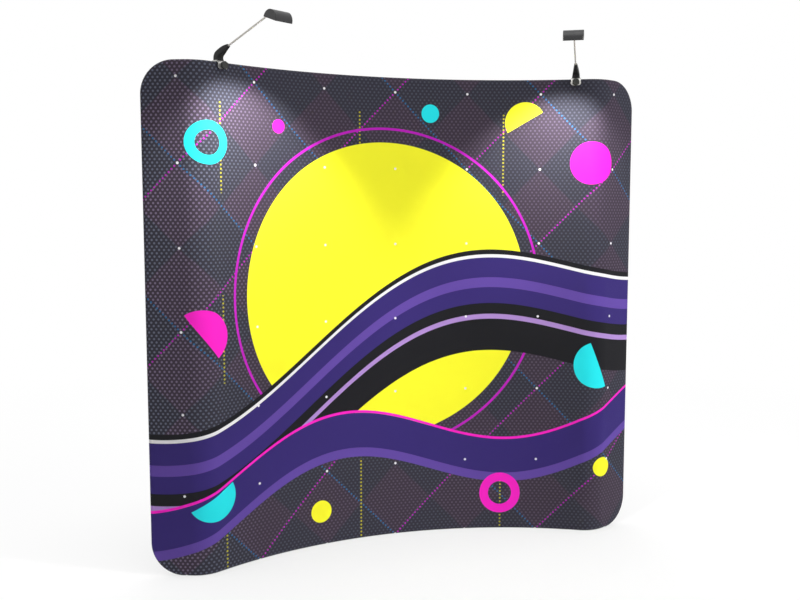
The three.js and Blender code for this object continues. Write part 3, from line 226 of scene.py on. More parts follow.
def fine_runs(start, end, main=RUN_STEP, bend=0.006):
    """Runs along the edge line, closer together where it bends tightly."""
    marks = [start, ARC_LENGTH, ARC_LENGTH + CURL_LENGTH, CORNER_START, CORNER_END, end]
    marks = [mark for mark in marks if start <= mark <= end]
    runs = [start]
    for before, after in zip(marks, marks[1:]):
        if after - before < 1e-9:
            continue
        tight = after > ARC_LENGTH + 1e-9 and before < CORNER_END - 1e-9
        count = max(1, ceil((after - before) / (bend if tight else main)))
        runs += steps(before, after, count)[1:]
    return runs


# ---- making meshes


def smoothed(mesh, angle=40):
    """Smooth faces, with edges sharper than an angle kept sharp."""
    mesh.shade_smooth()
    mesh.set_sharp_from_angle(angle=radians(angle))


def make(name, points, faces, angle=40):
    mesh = bpy.data.meshes.new(name)
    mesh.from_pydata([tuple(point) for point in points], [], faces)
    mesh.validate()
    smoothed(mesh, angle)
    made = bpy.data.objects.new(name, mesh)
    scene.collection.objects.link(made)
    return made


def new_light(name, kind, **settings):
    lamp = bpy.data.lights.new(name, kind)
    for setting, value in settings.items():
        setattr(lamp, setting, value)
    made = bpy.data.objects.new(name, lamp)
    scene.collection.objects.link(made)
    return made


def evaluated(made):
    """Puts the result of an object's modifiers into its mesh."""
    bpy.context.view_layer.update()
    graph = bpy.context.evaluated_depsgraph_get()
    mesh = bpy.data.meshes.new_from_object(made.evaluated_get(graph))
    made.modifiers.clear()
    made.data = mesh
    return made


def combine(made, others, operation):
    for other in others:
        step = made.modifiers.new("combine", "BOOLEAN")
        step.operation = operation
        step.solver = "EXACT"
        step.object = other
    evaluated(made)
    for other in others:
        bpy.data.objects.remove(other)
    return made


def join(made, *others):
    return combine(made, others, "UNION")


def cut(made, *others):
    return combine(made, others, "DIFFERENCE")


def bevelled(made, width, segments=2, angle=30):
    bevel = made.modifiers.new("bevel", "BEVEL")
    bevel.width = width
    bevel.segments = segments
    bevel.limit_method = "ANGLE"
    bevel.angle_limit = radians(angle)
    bevel.harden_normals = True
    evaluated(made)
    return made


def outward(made):
    """Turns all faces so that they point out of the closed mesh."""
    work = bmesh.new()
    work.from_mesh(made.data)
    bmesh.ops.recalc_face_normals(work, faces=work.faces)
    work.to_mesh(made.data)
    work.free()
    return made


def skin(rings, closed=False):
    """Points and faces through rings of points: capped at both ends, or closed into a loop."""
    count = len(rings[0])
    points = [point for ring in rings for point in ring]
    faces = []
    for i in range(len(rings) if closed else len(rings) - 1):
        here, there = i * count, (i + 1) % len(rings) * count
        for j in range(count):
            k = (j + 1) % count
            faces.append((here + j, here + k, there + k, there + j))
    if not closed:
        faces.append(tuple(reversed(range(count))))
        faces.append(tuple((len(rings) - 1) * count + j for j in range(count)))
    return points, faces


def rings_mesh(name, rings, closed=False):
    return outward(make(name, *skin(rings, closed)))


def circle(centre, one, two, radius, sides=32):
    ring = []
    for i in range(sides):
        angle = 2 * pi * (i + 0.5) / sides
        ring.append(centre + radius * (cos(angle) * one + sin(angle) * two))
    return ring


def ring_at(at, radius):
    return circle(at["point"], at["out"], at["front"], radius)


def swept(name, profile, station):
    """A revolve about a curved line: the profile is a closed list of (run, radius)."""
    return rings_mesh(name, [ring_at(station(run), radius) for run, radius in profile], closed=True)


def rod_between(name, start, end, radius, sides=24):
    axis = (end - start).normalized()
    one = axis.orthogonal().normalized()
    two = axis.cross(one)
    ends = [circle(point, one, two, radius, sides) for point in (start, end)]
    return rings_mesh(name, ends)


# ---- materials


def tone(*screen):
    """Linear colour from screen values of 0 to 255."""
    shares = [value / 255 for value in screen]
    return (*[((s + 0.055) / 1.055) ** 2.4 if s > 0.04045 else s / 12.92 for s in shares], 1)


class Shading:
    """A node tree under construction, with short ways to add nodes."""

    def __init__(self, tree, output):
        self.tree = tree
        self.tree.nodes.clear()
        self.output = self.add(output)

    def add(self, kind, **settings):
        node = self.tree.nodes.new("ShaderNode" + kind)
        for name, value in settings.items():
            setattr(node, name, value)
        return node

    def put(self, value, socket):
        if isinstance(value, bpy.types.NodeSocket):
            self.tree.links.new(value, socket)
        else:
            socket.default_value = value

    def node(self, kind, *values, **settings):
        """The first output of a new node, with values or links in its first inputs."""
        node = self.add(kind, **settings)
        for value, socket in zip(values, node.inputs):
            self.put(value, socket)
        return node.outputs[0]

    def size(self, operation, *vectors):
        """The length of a vector, or the distance of two."""
        node = self.add("VectorMath", operation=operation)
        for vector, socket in zip(vectors, node.inputs):
            self.put(vector, socket)
        return node.outputs["Value"]

    def math(self, operation, *values):
        return self.node("Math", *values, operation=operation)

    def step(self, value, low, high, start=0.0, end=1.0):
        """From start to end while the value goes from low to high."""
        return self.node("MapRange", value, low, high, start, end)

    def point(self, x, y, z=0.0):
        return self.node("CombineXYZ", x, y, z)

    def waves(self, value, length):
        return self.math("SINE", self.math("MULTIPLY", value, 2 * pi / length))

    def mix(self, share, below, above):
        node = self.add("Mix", data_type="RGBA")
        self.put(share, node.inputs[0])
        self.put(below, node.inputs[6])
        self.put(above, node.inputs[7])
        return node.outputs[2]

    def noise(self, vector, scale, detail=2.0):
        node = self.add("TexNoise")
        self.put(vector, node.inputs["Vector"])
        self.put(scale, node.inputs["Scale"])
        self.put(detail, node.inputs["Detail"])
        return node.outputs["Fac"]

    def seen(self):
        """1 for what the camera sees, also by way of gloss or glass, and else 0."""
        rays = self.add("LightPath").outputs
        first = self.math("MAXIMUM", rays["Is Camera Ray"], rays["Is Glossy Ray"])
        return self.math("MAXIMUM", first, rays["Is Transmission Ray"])

    def choose(self, share, below, above):
        """A mix of two shaders, put out."""
        self.put(self.node("MixShader", share, below, above), self.output.inputs["Surface"])


class Surface(Shading):
    """A material with its main shader."""

    def __init__(self, name):
        self.material = bpy.data.materials.new(name)
        self.material.use_nodes = True
        super().__init__(self.material.node_tree, "OutputMaterial")
        self.shader = self.add("BsdfPrincipled")
        self.put(self.shader.outputs[0], self.output.inputs["Surface"])

    def set(self, **values):
        for name, value in values.items():
            self.put(value, self.shader.inputs[name.replace("_", " ")])

    def bump(self, height, distance, strength=1.0):
        node = self.add("Bump")
        self.put(height, node.inputs["Height"])
        self.put(distance, node.inputs["Distance"])
        self.put(strength, node.inputs["Strength"])
        self.put(node.outputs[0], self.shader.inputs["Normal"])

    def here(self):
        return self.add("TexCoord").outputs["Object"]

    def parts(self, vector):
        node = self.add("SeparateXYZ")
        self.put(vector, node.inputs[0])
        return node.outputs


def grained(
    name, colour, roughness, metallic=0.0, grain=900.0, depth=0.05, mottle=0.06, shine=0.5
):
    """A moulded, coated or metal surface: fine grain, uneven gloss and slight mottling."""
    made = Surface(name)
    here = made.here()
    fine = made.noise(here, grain, 3.0)
    broad = made.noise(here, 35.0, 4.0)
    dark = tuple(value * (1 - mottle) for value in colour[:3]) + (1,)
    light = tuple(min(1.0, value * (1 + mottle)) for value in colour[:3]) + (1,)
    made.set(
        Base_Color=made.mix(broad, dark, light),
        Metallic=metallic,
        Roughness=made.step(broad, 0.3, 0.7, roughness - 0.05, roughness + 0.05),
        Specular_IOR_Level=shine,
    )
    made.bump(fine, depth * MM)
    return made.material


def bare_metal(name, colour, roughness):
    """Uncoated metal with a fine grain."""
    made = Surface(name)
    fine = made.noise(made.here(), 400.0, 2.0)
    broad = made.noise(made.here(), 12.0, 3.0)
    dark = tuple(value * 0.86 for value in colour[:3]) + (1,)
    made.set(
        Base_Color=made.mix(fine, dark, colour),
        Metallic=1.0,
        Roughness=made.step(broad, 0.3, 0.7, roughness - 0.06, roughness + 0.06),
    )
    made.bump(fine, 0.02 * MM)
    return made.material


# The cloth's laid-out coordinates fit its texture map at this scale.
CLOTH_SCALE = 2.6
CLOTH_MIDDLE = 0.5
CLOTH_FOOT = 0.06
WALE = 1.1 * MM  # width and height of a knitted loop
COURSE = 0.9 * MM
TWILL = 1.4 * MM
LENS_RIB = 2.0 * MM


def cloth_place(made):
    """Run and height in metres, from the cloth's texture map."""
    parts = made.parts(made.node("UVMap", uv_map="cloth"))
    run = made.math("MULTIPLY_ADD", parts[0], CLOTH_SCALE, -CLOTH_MIDDLE * CLOTH_SCALE)
    height = made.math("MULTIPLY_ADD", parts[1], CLOTH_SCALE, -CLOTH_FOOT * CLOTH_SCALE)
    return run, height


def knit_height(made, run, height):
    """Columns of small loops, as stretch knit shows up close."""
    zigzag = made.math("ABSOLUTE", made.waves(run, WALE))
    rise = made.math("MULTIPLY", height, 2 * pi / COURSE)
    loops = made.math("SINE", made.math("ADD", rise, made.math("MULTIPLY", zigzag, 2.2)))
    return made.math("ADD", made.math("MULTIPLY", zigzag, 0.8), made.math("MULTIPLY", loops, 0.4))


PLUM = tone(61, 52, 64)
SLATE = tone(51, 50, 60)
PLUM_DOT = tone(124, 111, 136)
SLATE_DOT = tone(104, 108, 126)
YELLOW = tone(255, 252, 48)
MAGENTA = tone(250, 34, 200)
CYAN = tone(38, 232, 240)
INDIGO = tone(55, 42, 112)
VIOLET = tone(98, 72, 160)
LILAC = tone(176, 140, 208)
INK = tone(24, 24, 28)
WHITE = tone(240, 238, 240)
DOT_BLUE = tone(45, 108, 158)
DOT_MAGENTA = tone(188, 30, 188)
DOT_YELLOW = tone(188, 182, 30)

SOFT_EDGE = 0.7 * MM
DOTS_PAINTED_LIGHT = (-1.2, -0.7, 1.0, 0.32)  # the fine dots' strength from run to run, as painted light: full at the left end, weaker to the right
CHECK = 0.184  # side-to-side half width of a harlequin check
DOT_PITCH = (21.5 * MM, 29 * MM)
DOT_RADIUS = 4.8 * MM
BEAD_RADIUS = 4.2 * MM
BEADS = 14  # along a check's side
UPRIGHT_PITCH = 18 * MM
UPRIGHT_BEAD = 4.4 * MM
UPRIGHT_DASHES = 7.4  # radians of the dashes' wave to a metre
WHITE_DOT = 6 * MM
SUN = (-0.06, 1.235)
SUN_RADIUS = 0.73
SUN_RING = (0.79, 0.802)


class Print(Surface):
    """The front cover's printed design, layer on layer, in run and height."""

    def __init__(self, name):
        super().__init__(name)
        self.run, self.height = cloth_place(self)
        self.place = self.point(self.run, self.height)
        self.colour = SLATE

    def paint(self, mask, colour):
        self.colour = self.mix(mask, self.colour, colour)

    def distance(self, centre):
        return self.size("DISTANCE", self.place, (*centre, 0))

    def below(self, value, limit):
        return self.step(value, limit - SOFT_EDGE, limit + SOFT_EDGE, 1.0, 0.0)

    def above(self, value, limit):
        return self.step(value, limit - SOFT_EDGE, limit + SOFT_EDGE)

    def both(self, *masks):
        found = masks[0]
        for mask in masks[1:]:
            found = self.math("MULTIPLY", found, mask)
        return found

    def disc(self, centre, radius):
        return self.below(self.distance(centre), radius)

    def ring(self, centre, inner, outer):
        return self.band(self.distance(centre), inner, outer)

    def side(self, centre, angle):
        """The half plane on one side of a line through centre."""
        tilt = radians(angle)
        x = self.math("MULTIPLY", self.run, cos(tilt))
        past = self.math("MULTIPLY_ADD", self.height, sin(tilt), x)
        return self.above(past, centre[0] * cos(tilt) + centre[1] * sin(tilt))

    def wave(self, base, slope, swing, length, phase):
        """Height above a slanted wave line."""
        angle = self.math("MULTIPLY_ADD", self.run, 2 * pi / length, phase)
        crest = self.math("MULTIPLY_ADD", self.math("SINE", angle), swing, base)
        line = self.math("MULTIPLY_ADD", self.run, slope, crest)
        return self.math("SUBTRACT", self.height, line)

    def band(self, value, low, high):
        return self.both(self.above(value, low), self.below(value, high))

    def dots(self, one, two, pitch_one, pitch_two, radius):
        """Round dots at whole steps of two coordinates."""
        parts = []
        for value, pitch in ((one, pitch_one), (two, pitch_two)):
            share = self.math("DIVIDE", value, pitch)
            near = self.math("SUBTRACT", share, self.math("ROUND", share))
            parts.append(self.math("MULTIPLY", near, pitch))
        return self.below(self.size("LENGTH", self.point(*parts)), radius)


def paint_checks(made):
    """Harlequin checks in two dark tones, with fine staggered dots and dotted lines."""
    run, height = made.run, made.height
    rising = made.math("DIVIDE", made.math("ADD", run, height), 2 * CHECK)
    falling = made.math("DIVIDE", made.math("SUBTRACT", run, height), 2 * CHECK)
    count = made.math("ADD", made.math("FLOOR", rising), made.math("FLOOR", falling))
    odd = made.math("PINGPONG", count, 1.0)
    made.colour = made.mix(odd, SLATE, PLUM)
    dot_tone = made.mix(odd, SLATE_DOT, PLUM_DOT)
    # painted light: the fine dots are at full strength only at the left end, so that it shows
    # brighter, and weaker to the right
    strength = made.step(run, *DOTS_PAINTED_LIGHT)
    for shift in (0.0, 0.5):
        across = made.math("ADD", run, shift * DOT_PITCH[0])
        up = made.math("ADD", height, shift * DOT_PITCH[1])
        spots = made.dots(across, up, *DOT_PITCH, DOT_RADIUS)
        made.paint(made.both(spots, strength), dot_tone)

    side = 2 * CHECK / sqrt(2)
    up_line, down_line = (made.math("MULTIPLY", share, side) for share in (rising, falling))
    for one, two, colour in ((up_line, down_line, DOT_BLUE), (down_line, up_line, DOT_MAGENTA)):
        made.paint(made.dots(one, two, 2 * side, side / BEADS, BEAD_RADIUS), colour)
    upright = made.math("ADD", run, CHECK)
    beads = made.dots(upright, height, 4 * CHECK, UPRIGHT_PITCH, UPRIGHT_BEAD)
    dashes = made.math("SINE", made.math("MULTIPLY", height, UPRIGHT_DASHES))
    made.paint(made.both(beads, made.above(dashes, 0.1)), DOT_YELLOW)


def paint_sun_and_waves(made):
    """Large sun disc with its ring, and two waves over it."""
    made.paint(made.ring(SUN, *SUN_RING), DOT_MAGENTA)
    made.paint(made.disc(SUN, SUN_RADIUS), YELLOW)
    upper = made.wave(base=0.93, slope=0.27, swing=0.20, length=2.5, phase=0.9)
    lower = made.wave(base=0.44, slope=0.10, swing=0.13, length=1.9, phase=2.6)
    for wave, low, high, colour in (
        (upper, -0.30, 0.21, INK),
        (upper, -0.06, 0.17, INDIGO),
        (upper, 0.02, 0.07, VIOLET),
        (upper, 0.17, 0.186, WHITE),
        (upper, -0.14, -0.115, LILAC),
        (lower, -0.12, 0.10, INDIGO),
        (lower, -0.12, -0.075, VIOLET),
        (lower, 0.10, 0.113, MAGENTA),
    ):
        made.paint(made.band(wave, low, high), colour)


def paint_small_shapes(made):
    """Discs, rings and half discs all round, and small white dots on a grid."""
    for centre, radius, colour in (
        ((0.99, 1.87), 0.105, MAGENTA),
        ((0.18, 2.11), 0.045, CYAN),
        ((-0.40, 0.17), 0.055, YELLOW),
        ((1.07, 0.33), 0.05, YELLOW),
        ((-0.61, 2.02), 0.032, MAGENTA),
    ):
        made.paint(made.disc(centre, radius), colour)
    made.paint(made.ring((-0.98, 1.93), 0.055, 0.095), CYAN)
    made.paint(made.ring((0.55, 0.19), 0.06, 0.105), MAGENTA)
    for centre, radius, angle, colour in (
        ((-1.02, 1.08), 0.12, 35, MAGENTA),
        ((0.66, 2.07), 0.10, 120, YELLOW),
        ((1.04, 0.86), 0.12, 200, CYAN),
        ((-0.98, 0.35), 0.11, -60, CYAN),
    ):
        made.paint(made.both(made.disc(centre, radius), made.side(centre, angle)), colour)
    made.paint(made.dots(made.run, made.height, 2 * CHECK, 2 * CHECK, WHITE_DOT), WHITE)


def printed_cloth():
    made = Print("printed_cloth")
    paint_checks(made)
    paint_sun_and_waves(made)
    paint_small_shapes(made)
    cloudy = made.noise(made.place, 3.0, 3.0)
    colour = made.add("HueSaturation")
    made.put(made.colour, colour.inputs["Color"])
    made.put(made.step(cloudy, 0.3, 0.7, 0.97, 1.03), colour.inputs["Value"])
    made.set(
        Base_Color=colour.outputs[0],
        Roughness=made.step(cloudy, 0.3, 0.7, 0.74, 0.82),
        Specular_IOR_Level=0.2,
        Sheen_Weight=0.05,
        Sheen_Roughness=0.4,
    )
    made.bump(knit_height(made, made.run, made.height), 0.12 * MM, 0.7)
    return made.material


def plain_cloth():
    made = Surface("plain_cloth")
    run, height = cloth_place(made)
    cloudy = made.noise(made.point(run, height), 5.0, 4.0)
    loops = knit_height(made, run, height)
    made.set(
        Base_Color=made.mix(cloudy, tone(40, 38, 44), tone(49, 47, 54)),
        Roughness=made.step(loops, 0.0, 1.0, 0.95, 0.82),
        Specular_IOR_Level=0.2,
        Sheen_Weight=0.1,
        Sheen_Roughness=0.5,
    )
    made.bump(loops, 0.16 * MM, 0.8)
    return made.material


def lens_glow():
    """Frosted lens: ribbed diffuser with the light behind it."""
    made = Surface("frosted_lens")
    cloud = made.noise(made.here(), 60.0)
    made.set(
        Base_Color=made.mix(cloud, tone(232, 230, 222), tone(244, 243, 238)),
        Roughness=0.35,
        Emission_Color=made.mix(cloud, (1.0, 0.95, 0.86, 1), (1.0, 0.98, 0.93, 1)),
        Emission_Strength=2.2,
    )
    made.bump(made.waves(made.parts(made.here())[0], LENS_RIB), 0.15 * MM)
    return made.material


def twill_tape():
    """Woven tape with diagonal ribs, with painted shade in the grooves between them."""
    made = Surface("zip_tape")
    parts = made.parts(made.here())
    ribs = made.waves(made.math("ADD", parts[0], parts[2]), TWILL)
    # painted shade and highlight: the ribs' height also darkens the grooves and lightens the crests
    made.set(Base_Color=made.mix(ribs, tone(26, 26, 29), tone(38, 38, 42)), Roughness=0.88)
    made.bump(ribs, 0.15 * MM)
    return made.material


ALUMINIUM = bare_metal("mill_aluminium", tone(196, 199, 203), 0.36)
STEEL = bare_metal("spring_steel", tone(201, 202, 204), 0.28)
BRACKET = grained("satin_nickel", tone(210, 209, 205), 0.36, metallic=0.6, grain=1500, depth=0.02)
ROD = grained(
    "satin_rod", tone(222, 218, 210), 0.5, metallic=0.35, grain=300, depth=0.002, mottle=0.03
)
SHADE = grained("charcoal_powder_coat", tone(32, 32, 34), 0.35, grain=2600, depth=0.04, shine=0.6)
NECK = grained("black_moulding", tone(30, 30, 31), 0.46, grain=2200, depth=0.04, shine=0.25)
KNOB = grained("grey_moulding", tone(60, 61, 59), 0.55, grain=1800, shine=0.25)
RUBBER = grained("pad_rubber", tone(30, 30, 31), 0.85, depth=0.08, mottle=0.12)
TEETH = grained("coil_nylon", tone(30, 30, 33), 0.4, grain=1500, depth=0.03)
BOARD = grained("board_enamel", tone(233, 231, 223), 0.45, grain=1200, depth=0.02, mottle=0.03)
PRINTED = printed_cloth()
PLAIN = plain_cloth()
LENS = lens_glow()
TAPE = twill_tape()


def placed(made, body, slot, material, *nodes):
    """Gives a piece its body and finish, and hides the CAD nodes that it stands for."""
    made.data.materials.clear()
    made.data.materials.append(material)
    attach(made, body)
    if nodes:
        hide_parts(*nodes)
    return made


# ---- frame tubes


def fill_runs(profile):
    """Adds runs between a profile's points, so that a sweep follows the bends."""
    filled = []
    for (before, r_before), (after, r_after) in zip(profile, profile[1:] + profile[:1]):
        filled.append((before, r_before))
        if abs(after - before) < RUN_STEP / 2:
            continue
        between = fine_runs(*sorted((before, after)))[1:-1]
        if after < before:
            between.reverse()
        for run in between:
            share = (run - before) / (after - before)
            filled.append((run, r_before + (r_after - r_before) * share))
    return filled


def tube_profile(start, end, spigot):
    """Closed (run, radius) profile of a tube, with a swaged spigot past its end or none."""
    profile = [
        (start, TUBE_BORE),
        (start, TUBE_RADIUS - LIP),
        (start + LIP, TUBE_RADIUS),
        (end - LIP, TUBE_RADIUS),
        (end, TUBE_RADIUS - LIP),
    ]
    if not spigot:
        return [*profile, (end, TUBE_BORE)]
    tip = end + SPIGOT_LENGTH
    return [
        *profile,
        (end, SPIGOT_RADIUS),
        (tip - LIP, SPIGOT_RADIUS),
        (tip, SPIGOT_RADIUS - LIP),
        (tip, SPIGOT_BORE),
        (end - SWAGE_RING, SPIGOT_BORE),
        (end - SWAGE_RING, TUBE_BORE),
    ]


def button_hole(at):
    inward = -at["out"]
    start = at["point"] + inward * (SPIGOT_BORE / 2)
    return rod_between("hole", start, start + inward * TUBE_RADIUS, BUTTON_HOLE)


def pole_station(height):
    """The centre pole's line; the buttons point to +X."""
    depth = edge(TEE_HALF_RUN)["point"].y
    return {
        "point": Vector((0, depth, height)),
        "out": Vector((-1, 0, 0)),
        "front": Vector((0, -1, 0)),
    }


def frame_tube(node, station, start, end, spigot, holes):
    made = swept(node + "_fine", fill_runs(tube_profile(start, end, spigot)), station)
    cut(made, *[button_hole(station(place)) for place in holes])
    smoothed(made.data)
    return placed(made, "wall", "tube_aluminium", ALUMINIUM, node)


def tube_rows():
    """Each tube's name, line, start, end, whether it has a spigot, and its button holes."""
    for side, label in SIDES:
        upper, lower = partial(edge, side=side), partial(edge, side=side, level=-1)
        rail = (TEE_HALF_RUN + GAP, RAIL_JOINT, True, (TEE_HALF_RUN + HALF_SPIGOT, RAIL_HOLE))
        yield f"top_rail_{label}", upper, *rail
        yield f"bottom_rail_{label}", lower, *rail
        start = RAIL_JOINT + GAP
        holes = (RAIL_HOLE, SIDE_END - HALF_SPIGOT)
        yield f"upper_side_tube_{label}", upper, start, SIDE_END - GAP, False, holes
        holes = (RAIL_HOLE, SIDE_END + HALF_SPIGOT)
        yield f"lower_side_tube_{label}", lower, start, SIDE_END, True, holes
    holes = (POLE_HOLE, TOP_POLE_END - HALF_SPIGOT)
    yield "upper_centre_pole", pole_station, MID_HEIGHT + GAP, TOP_POLE_END - GAP, False, holes
    holes = (POLE_HOLE, BOTTOM_POLE_END + HALF_SPIGOT)
    yield "lower_centre_pole", pole_station, BOTTOM_POLE_END + GAP, MID_HEIGHT, True, holes


def tee(node, level):
    """Tee between the rails, with a branch for the centre pole."""
    rail = TOP_LINE if level > 0 else COVER_RADIUS
    branch_end = rail - level * TEE_BRANCH
    tip = branch_end - level * SPIGOT_LENGTH
    reach = TEE_HALF_RUN + SPIGOT_LENGTH
    past = 5 * MM

    def bar(half, radius):
        rings = [ring_at(across(run, level), radius) for run in steps(-half, half, 12)]
        return rings_mesh("bar", rings)

    def upright(start, end, radius):
        ends = [pole_station(height)["point"] for height in sorted((start, end))]
        return rod_between("upright", *ends, radius, 32)

    made = join(
        bar(TEE_HALF_RUN, TUBE_RADIUS),
        bar(reach, SPIGOT_RADIUS),
        upright(rail, branch_end, TUBE_RADIUS),
        upright(rail, tip, SPIGOT_RADIUS),
    )
    made.name = node + "_fine"
    bores = [bar(reach + past, SPIGOT_BORE), upright(rail, tip - level * past, SPIGOT_BORE)]
    holes = [button_hole(edge(TEE_HALF_RUN + HALF_SPIGOT, side, level)) for side in (1, -1)]
    holes.append(button_hole(pole_station(branch_end - level * HALF_SPIGOT)))
    cut(made, *bores, *holes)
    smoothed(made.data)
    return placed(made, "wall", "tube_aluminium", ALUMINIUM, node)


def build_tubes():
    tubes = [frame_tube(*row) for row in tube_rows()]
    return [*tubes, tee("top_tee", 1), tee("bottom_tee", -1)]


# ---- cover


def side_heights():
    """Heights of the rows between the corners' ends on the vertical sides."""
    return steps(WALL_HEIGHT - (TOP_LINE - BEND_RADIUS), TOP_LINE - BEND_RADIUS, SIDE_ROWS)


def cover_columns():
    """Signed runs from the left end of the corners to the right end."""
    right = fine_runs(0.0, CORNER_END, COLUMN_STEP, 0.0055)
    return [-run for run in reversed(right[1:])] + right


class Sheet:
    """A cover panel's mesh, with shared points and a texture map of run and height."""

    def __init__(self, name):
        self.name = name
        self.points = []
        self.places = []
        self.faces = []
        self.known = {}

    def add(self, point, place):
        key = tuple(round(value * 1e5) for value in point)
        if key not in self.known:
            self.known[key] = len(self.points)
            self.points.append(point)
            self.places.append(place)
        return self.known[key]

    def face(self, *corners):
        """A face, or none where its corners meet."""
        around = tuple(dict.fromkeys(corners))
        if len(around) > 2:
            self.faces.append(around)

    def grid(self, rows):
        for lower, upper in zip(rows, rows[1:]):
            for i in range(len(lower) - 1):
                self.face(lower[i], lower[i + 1], upper[i + 1], upper[i])

    def finish(self, flip):
        if flip:
            self.faces = [tuple(reversed(face)) for face in self.faces]
        made = make(self.name, self.points, self.faces, 60)
        uv = made.data.uv_layers.new(name="cloth")
        for loop in made.data.loops:
            run, height = self.places[loop.vertex_index]
            across = run / CLOTH_SCALE + CLOTH_MIDDLE
            uv.data[loop.index].uv = (across, height / CLOTH_SCALE + CLOTH_FOOT)
        thick = made.modifiers.new("thickness", "SOLIDIFY")
        thick.thickness = FABRIC
        thick.offset = -1
        return outward(evaluated(made))


def rim_loop():
    """Stations all round the edge, left to right along the top and back along the bottom."""
    runs = cover_columns()
    heights = side_heights()[1:-1]

    def side_station(height, side):
        level = 1 if height >= MID_HEIGHT else -1
        reach = height if level > 0 else WALL_HEIGHT - height
        return edge(CORNER_END + TOP_LINE - BEND_RADIUS - reach, side, level)

    top = [across(run, 1) for run in runs]
    right = [side_station(height, 1) for height in reversed(heights)]
    bottom = [across(run, -1) for run in reversed(runs)]
    left = [side_station(height, -1) for height in heights]
    return top + right + bottom + left


def rim_row(sheet, loop, angle, radius, wrap):
    """One line of points round the rim; angle 0 is the front, and wrap is the way that the
    cloth has gone round the rim."""
    row = []
    for at in loop:
        point = at["point"] + radius * (cos(angle) * at["front"] + sin(angle) * at["out"])
        place = [here + wrap * out for here, out in zip(at["place"], at["out_place"])]
        row.append(sheet.add(point, place))
    return row + row[:1]


def face_grid(sheet, facing, extra, is_open):
    """The panel's ruled face, from the bottom edge to the top one. Extra gives more row
    heights, and is_open(run, low, high) is true where the face has no cloth."""
    runs = cover_columns()
    inner = sorted({*side_heights()[1:-1], *extra})
    columns = []
    for run in runs:
        top = across(run)
        low, high = WALL_HEIGHT - top["point"].z, top["point"].z
        column = []
        for height in [low, *inner, high]:
            point = top["point"] + facing * COVER_RADIUS * top["front"]
            point.z = min(max(height, low), high)
            column.append((sheet.add(point, (top["place"][0], point.z)), point.z))
        columns.append(column)
    for left, right, run in zip(columns, columns[1:], runs):
        for i in range(len(left) - 1):
            if not is_open(run, left[i][1], left[i + 1][1]):
                sheet.face(left[i][0], right[i][0], right[i + 1][0], left[i + 1][0])


def cover_panel(name, facing, start, seam, rows, extra=(), is_open=lambda *place: False):
    """A panel from its face, over the rim from angle start to the seam."""
    sheet = Sheet(name)
    loop = rim_loop()
    face_grid(sheet, facing, extra, is_open)
    rim = []
    for angle in steps(start, seam, rows):
        tuck = SEAM_TUCK if angle == seam else 0.0
        wrap = abs(angle - start) * COVER_RADIUS
        rim.append(rim_row(sheet, loop, angle, COVER_RADIUS - tuck, wrap))
    sheet.grid(rim)
    return sheet.finish(facing < 0)


def front_cover():
    return cover_panel("front_cover_cloth", 1, 0.0, SEAM_ANGLE, 16)


def back_cover():
    low_edge, high_edge = ZIP_HEIGHT - ZIP_TAPE_WIDTH / 2, ZIP_HEIGHT + ZIP_TAPE_WIDTH / 2
    near = 1e-6

    def in_slot(run, low, high):
        inside = -RAIL_JOINT <= run and run + COLUMN_STEP <= RAIL_JOINT + COLUMN_STEP / 2
        return inside and low >= low_edge - near and high <= high_edge + near

    seam = SEAM_ANGLE + GAP / COVER_RADIUS
    extra = (30 * MM, 45 * MM, low_edge, high_edge, 75 * MM, 95 * MM)
    return cover_panel("back_cover_cloth", -1, pi, seam, 12, extra, in_slot)


def build_cover():
    for build, slot, material, node, turned in (
        (front_cover, "printed_fabric", PRINTED, "front_cover_panel", SEAM_ANGLE),
        (back_cover, "plain_fabric", PLAIN, "back_cover_panel", pi - SEAM_ANGLE),
    ):
        panel = placed(build(), "wall", slot, material, node)


# ---- zip


def back_point(run, height, proud):
    """A point on or off the back of the cover, by signed run."""
    at = across(run)
    point = at["point"] - (COVER_RADIUS + proud) * at["front"]
    point.z = height
    return point


def tape_section():
    """Closed (height, proud) outline of the tape, with the coil's two low ridges."""
    half = ZIP_TAPE_WIDTH / 2 - GAP
    upper = [
        (half, -FABRIC),
        (half, -0.2 * MM),
        (half - 1 * MM, 0.0),
        (2.4 * MM, 0.0),
        (1.6 * MM, 0.35 * MM),
    ]
    return [(-z, proud) for z, proud in upper] + [(0.0, 0.1 * MM)] + upper[::-1]


def coil_teeth():
    """Points and faces of the teeth, by turns from the lower and the upper half."""
    end = RAIL_JOINT - GAP - 2 * MM
    points, faces = [], []
    for i in range(ceil(2 * end / TOOTH_PITCH)):
        place = i * TOOTH_PITCH - end
        low, high = (-1.4 * MM, 0.5 * MM) if i % 2 == 0 else (-0.5 * MM, 1.4 * MM)
        rings = []
        for proud, shrink in ((0.2 * MM, 0.0), (1.1 * MM, 0.0), (ZIP_CHAIN_PROUD, 0.3 * MM)):
            left, right = place + shrink, place + TOOTH_LENGTH - shrink
            down, up = ZIP_HEIGHT + low + shrink, ZIP_HEIGHT + high - shrink
            corners = ((left, down), (right, down), (right, up), (left, up))
            rings.append([back_point(run, height, proud) for run, height in corners])
        tooth_points, tooth_faces = skin(rings)
        faces += [tuple(len(points) + corner for corner in face) for face in tooth_faces]
        points += tooth_points
    return points, faces


def build_zip():
    reach = RAIL_JOINT - GAP
    rings = []
    for run in steps(-reach, reach, 96):
        rings.append([back_point(run, ZIP_HEIGHT + z, proud) for z, proud in tape_section()])
    placed(rings_mesh("zip_tape", rings), "wall", "zip_plastic", TAPE, "zip_chain")
    teeth = outward(make("zip_teeth", *coil_teeth(), 30))
    placed(teeth, "wall", "zip_plastic", TEETH)


# ---- lights
# In a light's own frame X runs along the rail, -Y reaches to the viewer and Z is up. All sizes
# of the lights are in millimetres.

